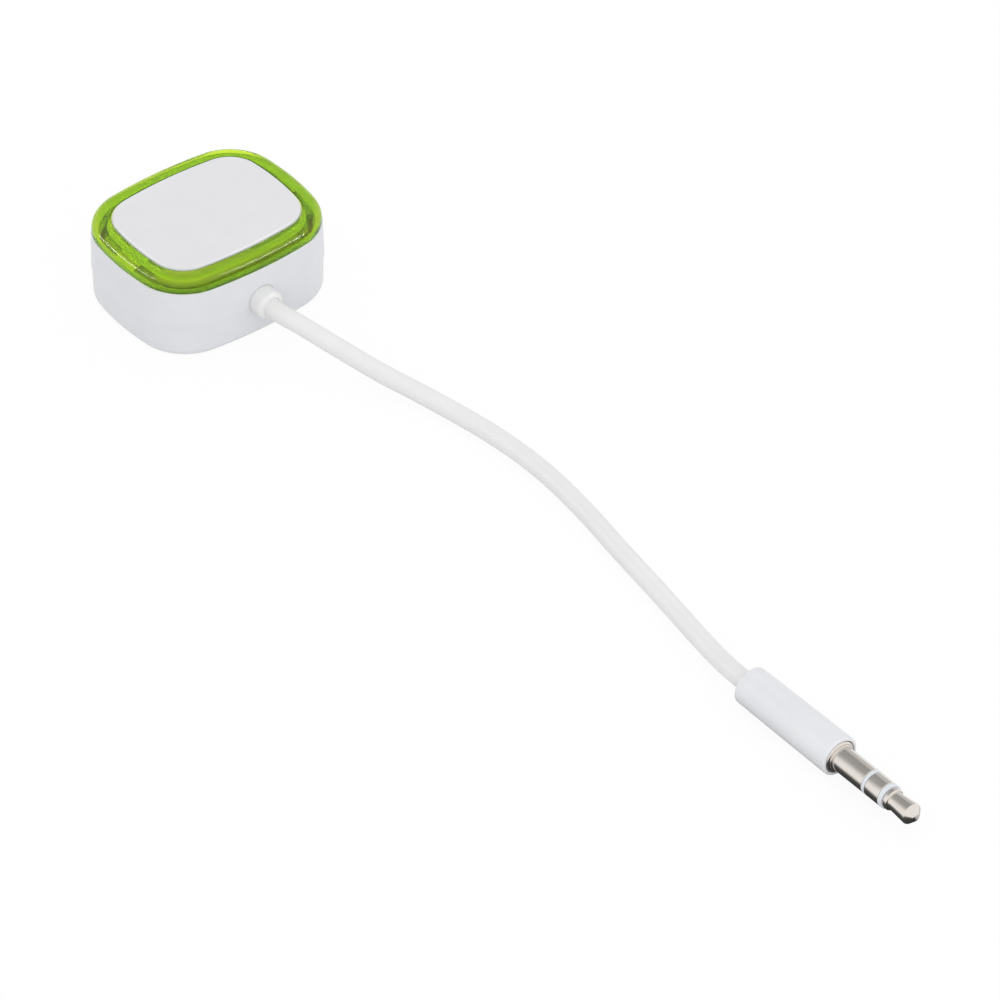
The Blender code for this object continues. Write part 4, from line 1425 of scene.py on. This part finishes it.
@dataclass
class Cord:
    """The captive cord and the boot that holds it in the front wall."""

    palette: Palette
    axis: PlugAxis = PlugAxis()
    front: float = -0.0126
    height: float = 0.00585
    diameter: float = 0.0027
    length: float = 0.1024
    lying: float = 0.00138
    round_steps: int = 10
    knot_steps: int = 10
    boot_radius: float = 0.00215
    boot_reach: float = 0.0022
    boot_taper: float = 0.00008
    boot_edge: float = 0.00066
    boot_socket: float = 0.0010
    flange_radius: float = 0.00285
    flange_seat: float = -0.001664
    flange_rear: float = -0.002664
    cord_fit: float = 0.00004
    rest: float = 0.00005
    plug_socket: float = 0.0015
    route: tuple[Triple, ...] = (
        (0.00095, -0.0204, 0.00425),
        (0.0019, -0.0232, 0.00365),
        (0.0031, -0.0260, 0.0028),
        (0.00525, -0.0321, 0.00155),
        (0.00745, -0.0382, 0.0007),
        (0.00925, -0.0447, 0.0002),
        (0.0105, -0.0518, 0.00005),
        (0.0110, -0.0597, 0.0),
        (0.0104, -0.0694, 0.0),
        (0.0090, -0.0796, 0.0),
        (0.0077, -0.0897, 0.0),
        (0.0061, -0.0997, 0.0003),
        (0.0051, -0.1057, 0.0008),
    )

    def points(self) -> list[Vector]:
        """The points that the cord runs through, from the boot's socket to the plug's.

        Returns:
            The points, in order.
        """
        start = self.front - self.boot_reach + self.boot_socket - self.rest
        return [
            Vector((0, start, self.height)),
            Vector((0, self.front - self.boot_reach - self.diameter / 2, self.height)),
            *[Vector((px, py, self.lying + lift)) for px, py, lift in self.route],
            self.axis.point(-self.diameter),
            self.axis.point(self.plug_socket - self.rest),
        ]

    def build(self, plug_pieces: Sequence[Piece]) -> None:
        """Args:
            plug_pieces: The pieces of the plug on its far end. Not used.
        """
        boot = self.boot()
        line = self.line()

    def boot(self) -> Piece:
        """The boot: a flange behind the wall and a short round sleeve outside it.

        Returns:
            The piece.
        """
        socket = self.diameter / 2 + self.cord_fit
        bm = turned(
            [
                Turn(0, self.flange_rear),
                Turn(self.flange_radius, self.flange_rear, self.rest),
                Turn(self.flange_radius, self.flange_seat, self.rest),
                Turn(self.boot_radius, self.flange_seat),
                Turn(self.boot_radius, 0),
                Turn(self.boot_radius - self.boot_taper, self.boot_reach, self.boot_edge),
                Turn(socket, self.boot_reach, self.rest),
                Turn(socket, self.boot_reach - self.boot_socket),
                Turn(0, self.boot_reach - self.boot_socket),
            ]
        )
        bm = moved(bm, Matrix.Translation((0, self.front, self.height)) @ TO_FRONT)
        return settle(bm, "boot_sleeve", Slot.CORD_WHITE, self.palette, "cord_boot")

    def line(self) -> Piece:
        """The cord, as one smooth curve through its route.

        Returns:
            The piece.
        """
        points = self.points()
        data = bpy.data.curves.new("cord_line", "CURVE")
        data.dimensions = "3D"
        data.bevel_depth = self.diameter / 2
        data.bevel_resolution = self.round_steps
        data.resolution_u = self.knot_steps
        data.use_fill_caps = True
        spline = data.splines.new("BEZIER")
        spline.bezier_points.add(len(points) - 1)
        for knot, point in zip(spline.bezier_points, points):
            knot.co = point
            knot.handle_left_type = knot.handle_right_type = "AUTO"
        piece = linked("cord_line", data)
        return enlist(piece, Slot.CORD_WHITE, self.palette, "audio_cord")


@dataclass
class Plug:
    """The stereo plug: a moulded grip, three contacts and two insulators about one axis."""

    palette: Palette
    axis: PlugAxis = PlugAxis()
    grip_length: float = 0.0179
    grip_back: float = 0.00275
    grip_front: float = 0.002875
    grip_back_edge: float = 0.00026
    grip_edge: float = 0.00036
    socket_radius: float = 0.00145
    socket_depth: float = 0.0015
    shoulder: float = 0.00230
    shoulder_thickness: float = 0.0010
    shoulder_edge: float = 0.00034
    shoulder_stand: float = 0.00015
    tail: float = 0.0020
    tail_end: float = -0.0050
    rod_end: float = -0.0082
    tube_step: float = 0.0008
    tube_wall: float = 0.00018
    fit: float = 0.0001
    rest: float = 0.00005
    pin: float = 0.00175
    foot: float = 0.00192
    foot_length: float = 0.00022
    sleeve_end: float = 0.0060
    sleeve_bore: float = 0.00118
    rear_band: Triple = (0.00094, 0.00605, 0.00655)
    ring_band: Triple = (0.00070, 0.00660, 0.00920)
    front_band: Triple = (0.00046, 0.00925, 0.00985)
    contact_edge: float = 0.00012
    insulator_edge: float = 0.00003
    rod: float = 0.00040
    tip_start: float = 0.00990
    tip_flange: float = 0.00156
    tip_flange_end: float = 0.01064
    tip_flange_edge: float = 0.00018
    tip_neck: float = 0.00128
    tip_neck_start: float = 0.01068
    tip_neck_end: float = 0.01100
    tip_head: float = 0.001525
    tip_head_at: float = 0.01392
    tip_round: float = 0.00012
    tip_end_radius: float = 0.00050
    tip_end: float = 0.01490
    tip_end_edge: float = 0.0002

    def build(self) -> list[Piece]:
        """Build the plug's pieces, from the grip to the tip.

        Returns:
            The pieces.
        """
        return [
            self.grip(),
            self.sleeve(),
            self.band("pin_rear_band", "plug_rear_insulator", Slot.INSULATOR, self.rear_band, 1),
            self.band("pin_ring", "plug_ring", Slot.NICKEL, self.ring_band, 2),
            self.band("pin_front_band", "plug_front_insulator", Slot.INSULATOR, self.front_band, 3),
            self.tip(),
        ]

    def placed(self, bm: Mesh, name: str, slot: Slot, stands_for: str) -> Piece:
        """A finished piece of a mesh that is turned about Z, put on the plug's axis."""
        bm = moved(bm, self.axis.matrix(self.grip_length))
        return settle(bm, name, slot, self.palette, stands_for)

    def grip(self) -> Piece:
        """The moulded grip, with the cord's socket behind and the contacts' socket in front.

        Returns:
            The piece.
        """
        mouth = self.shoulder + self.fit
        tail = self.tail + self.fit
        step = -self.shoulder_thickness - self.rest
        bm = turned(
            [
                Turn(0, self.socket_depth - self.grip_length),
                Turn(self.socket_radius, self.socket_depth - self.grip_length),
                Turn(self.socket_radius, -self.grip_length, self.fit),
                Turn(self.grip_back, -self.grip_length, self.grip_back_edge),
                Turn(self.grip_front, 0, self.grip_edge),
                Turn(mouth, 0, self.rest / 2),
                Turn(mouth, step),
                Turn(tail, step),
                Turn(tail, self.rod_end - self.fit),
                Turn(0, self.rod_end - self.fit),
            ]
        )
        return self.placed(bm, "grip_body", Slot.GRIP_WHITE, "plug_grip")

    def sleeve(self) -> Piece:
        """The sleeve contact, with its shoulder at the foot of the pin.

        Returns:
            The piece.
        """
        foot_end = self.shoulder_stand + self.foot_length
        bm = turned(
            [
                Turn(self.sleeve_bore, self.tail_end),
                Turn(self.tail, self.tail_end),
                Turn(self.tail, -self.shoulder_thickness),
                Turn(self.shoulder, -self.shoulder_thickness),
                Turn(self.shoulder, self.shoulder_stand, self.shoulder_edge),
                Turn(self.foot, self.shoulder_stand),
                Turn(self.foot, foot_end, self.contact_edge),
                Turn(self.pin, foot_end),
                Turn(self.pin, self.sleeve_end, self.contact_edge),
                Turn(self.sleeve_bore, self.sleeve_end),
            ],
            closed=True,
        )
        return self.placed(bm, "pin_sleeve", Slot.NICKEL, "plug_sleeve")

    def band(self, name: str, stands_for: str, slot: Slot, sizes: Triple, steps: int) -> Piece:
        """A contact or insulator: a band on the pin with a tube that runs back inside the grip.

        Args:
            name: Name of the piece.
            stands_for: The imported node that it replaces.
            slot: Its finish.
            sizes: Its bore, and where its band starts and ends on the pin.
            steps: How many steps further back than the sleeve its tube ends.

        Returns:
            The piece.
        """
        bore, start, end = sizes
        tube_end = self.tail_end - steps * self.tube_step
        edge = self.contact_edge if slot is Slot.NICKEL else self.insulator_edge
        bm = turned(
            [
                Turn(bore, tube_end),
                Turn(bore + self.tube_wall, tube_end),
                Turn(bore + self.tube_wall, start),
                Turn(self.pin, start, edge),
                Turn(self.pin, end, edge),
                Turn(bore, end),
            ],
            closed=True,
        )
        return self.placed(bm, name, slot, stands_for)

    def tip(self) -> Piece:
        """The tip contact: a flange, a neck, a head that widens to the front, and a cone.

        Returns:
            The piece.
        """
        bm = turned(
            [
                Turn(0, self.rod_end),
                Turn(self.rod, self.rod_end),
                Turn(self.rod, self.tip_start),
                Turn(self.tip_flange, self.tip_start, self.tip_flange_edge),
                Turn(self.tip_flange, self.tip_flange_end, self.tip_flange_edge),
                Turn(self.tip_neck, self.tip_neck_start),
                Turn(self.tip_neck, self.tip_neck_end, self.contact_edge),
                Turn(self.tip_head, self.tip_head_at, self.tip_round),
                Turn(self.tip_end_radius, self.tip_end, self.tip_end_edge),
                Turn(0, self.tip_end),
            ]
        )
        return self.placed(bm, "pin_tip", Slot.NICKEL, "plug_tip")


@dataclass(frozen=True)
class Strip:
    """A long lamp: its two ends, its breadth, its power, and whether it is a highlight only."""

    name: str
    start: Triple
    end: Triple
    breadth: float
    power: float
    highlight: bool = True

    def build(self) -> None:
        """Hang the lamp, facing the object."""
        start, end = Vector(self.start), Vector(self.end)
        data = bpy.data.lights.new(self.name, "AREA")
        data.shape = "RECTANGLE"
        data.size, data.size_y = (end - start).length, self.breadth
        data.energy = self.power
        lamp = linked(self.name, data)
        lamp.location = (start + end) / 2
        away = lamp.location.normalized()
        along = (end - start).normalized()
        across = away.cross(along).normalized()
        turn = Matrix((across.cross(away), across, away)).transposed()
        lamp.rotation_euler = turn.to_euler()
        lamp.visible_camera = False
        lamp.visible_glossy = self.highlight
        lamp.visible_diffuse = not self.highlight
        lamp.visible_transmission = False


@dataclass(frozen=True)
class Card:
    """A card that only reflections show, which paints a reflection: its place, its slope, and its
    tones along X.
    """

    name: str
    centre: Triple
    size: tuple[float, float]
    slope: float
    tones: tuple[tuple[float, float], ...]

    def build(self) -> None:
        """Set up the card."""
        place = Matrix.Translation(self.centre) @ Matrix.Rotation(self.slope, 4, "X")
        card = plane(self.name, self.size, place)
        card.visible_camera = card.visible_diffuse = card.visible_shadow = False
        card.visible_transmission = card.visible_volume_scatter = False
        card.data.materials.append(self.paper())

    def paper(self) -> bpy.types.Material:
        """The card's material, with a tone at each given x.

        Returns:
            The material.
        """
        material = bpy.data.materials.new(self.name)
        graph = NodeGraph.blank(material)
        place = graph.add("ShaderNodeTexCoord").outputs["Object"]
        across = graph.add("ShaderNodeSeparateXYZ", {0: place}).outputs["X"]
        shades = graph.ramp(across, [(x, (tone, tone, tone, 1)) for x, tone in self.tones])
        glow = graph.add("ShaderNodeEmission", {"Color": shades, "Strength": 1.0})
        graph.add("ShaderNodeOutputMaterial", {"Surface": glow.outputs[0]})
        return material


@dataclass
class Studio:
    """Floor, soft light, cards that paint reflections and a shadow into the metal, and the camera.
    """

    aim: Triple = (0.00356, -0.06071, 0.0003)
    camera_place: Triple = (-0.5117, -0.7231, 0.7115)
    lens: float = 297.0
    sensor: float = 36.0
    nearest: float = 0.01
    farthest: float = 50.0
    floor_size: float = 6.0
    floor_drop: float = 0.00002
    floor_white: float = 0.8
    floor_glow: float = 1.02
    backdrop: float = 0.9
    sky: float = 1.0
    strips: tuple[Strip, ...] = (
        Strip(
            "strip_front",
            start=(0.0196, -0.0641, 0.0634),
            end=(0.0575, -0.0489, 0.0497),
            breadth=0.0084,
            power=0.025,
        ),
        Strip(
            "strip_left",
            start=(-0.0976, 0.0120, 0.0818),
            end=(-0.0654, 0.0970, 0.0399),
            breadth=0.012,
            power=0.065,
        ),
        Strip(
            "fill_front",
            start=(-0.55, -0.90, 0.26),
            end=(0.25, -1.05, 0.26),
            breadth=0.35,
            power=1.15,
            highlight=False,
        ),
    )
    cards: tuple[Card, ...] = (
        # A dark sheet under the plug, seen only in reflections: a painted shadow beneath the pin.
        Card(
            "pin_shadow_card",
            centre=(-0.003, -0.135, -0.00001),
            size=(0.034, 0.052),
            slope=0.0,
            tones=(
                (-0.020, 1.0),
                (-0.0085, 0.74),
                (-0.0036, 0.32),
                (-0.0008, 0.08),
                (0.0065, 0.03),
                (0.0075, 0.62),
            ),
        ),
        # A grey sheet seen only in reflections: painted dark stripes on the metal.
        Card(
            "reflection_card",
            centre=(0.035, -0.0855, 0.0389),
            size=(0.230, 0.10),
            slope=math.radians(-36.9),
            tones=(
                (-0.080, 1.0),
                (-0.050, 0.88),
                (-0.030, 0.62),
                (-0.012, 0.42),
                (0.030, 0.37),
                (0.040, 0.37),
                (0.051, 0.62),
                (0.150, 0.62),
            ),
        ),
    )

    def build(self) -> None:
        """Build the studio."""
        bpy.context.scene.view_settings.view_transform = "Standard"
        self.camera()
        self.floor()
        self.world()
        for part in (*self.strips, *self.cards):
            part.build()

    def camera(self) -> None:
        """The camera at the photograph's angle."""
        data = bpy.data.cameras.new("camera")
        data.lens = self.lens
        data.sensor_width = self.sensor
        data.clip_start, data.clip_end = self.nearest, self.farthest
        camera = linked("camera", data)
        camera.location = self.camera_place
        towards = Vector(self.aim) - Vector(self.camera_place)
        camera.rotation_euler = towards.to_track_quat("-Z", "Y").to_euler()
        bpy.context.scene.camera = camera

    def floor(self) -> None:
        """A plain pale floor that shows white and keeps a soft shadow."""
        size = (self.floor_size, self.floor_size)
        floor = plane("floor", size, Matrix.Translation((0, 0, -self.floor_drop)))
        material = bpy.data.materials.new("floor_paper")
        graph = NodeGraph.blank(material)
        path = graph.add("ShaderNodeLightPath").outputs
        seen = path["Is Camera Ray"]
        for name in ("Is Glossy Ray", "Is Transmission Ray"):
            seen = graph.reckon(Sum.LARGER, seen, path[name])
        pale = self.floor_white
        paper = graph.add("ShaderNodeBsdfDiffuse", {"Color": (pale, pale, pale, 1)})
        white = graph.add("ShaderNodeEmission", {"Strength": self.floor_glow})
        part = graph.reckon(Sum.TIMES, seen, self.backdrop)
        mix = graph.add("ShaderNodeMixShader", {0: part, 1: paper.outputs[0], 2: white.outputs[0]})
        graph.add("ShaderNodeOutputMaterial", {"Surface": mix.outputs[0]})
        floor.data.materials.append(material)

    def world(self) -> None:
        """An even white sky."""
        world = bpy.data.worlds.new("sky")
        bpy.context.scene.world = world
        graph = NodeGraph.blank(world)
        white = {"Color": (1, 1, 1, 1), "Strength": self.sky}
        light = graph.add("ShaderNodeBackground", white)
        graph.add("ShaderNodeOutputWorld", {"Surface": light.outputs[0]})


INNER_PIECES = {
    Slot.BOARD_GREEN: ("main_board",),
    Slot.STEEL: ("board_screw_left", "board_screw_right", "clock_crystal"),
    Slot.CHIP_BLACK: ("bluetooth_chip", "charger_chip", "switch_body"),
    Slot.CERAMIC: ("chip_antenna",),
    Slot.FERRITE: ("power_inductor",),
    Slot.CAPACITOR_TAN: ("coupling_capacitor_left", "coupling_capacitor_right"),
    Slot.LAMP: ("lamp_front_left", "lamp_front_right", "lamp_back_left", "lamp_back_right"),
    Slot.CELL_FOIL: ("battery_cell",),
    Slot.TAPE_GREY: ("battery_tape",),
    Slot.LEAD_RED: ("battery_lead_plus", "audio_lead_right"),
    Slot.LEAD_BLACK: ("battery_lead_minus", "switch_plunger"),
    Slot.INSULATOR: ("audio_lead_left",),
    Slot.COPPER: ("audio_lead_ground",),
}


def dress_inner_pieces(palette: Palette) -> None:
    """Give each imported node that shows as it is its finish.

    Args:
        palette: The materials.
    """
    for slot, names in INNER_PIECES.items():
        for name in names:
            palette.paint(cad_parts[name], slot)
            LOG.info("%s: %s, packed solid", name, slot.value)


def main() -> None:
    """Build the studio and every sub-assembly."""
    logging.basicConfig(level=logging.INFO, format="%(name)s %(message)s")
    palette = Palette()
    Studio().build()
    plug_pieces = Plug(palette).build()
    Cord(palette).build(plug_pieces)
    socket = ChargingSocket(palette)
    socket.build()
    Case(palette, socket).build()
    LightRing(palette).build()
    PressCap(palette).build()
    dress_inner_pieces(palette)


if __name__ == "__main__":
    main()
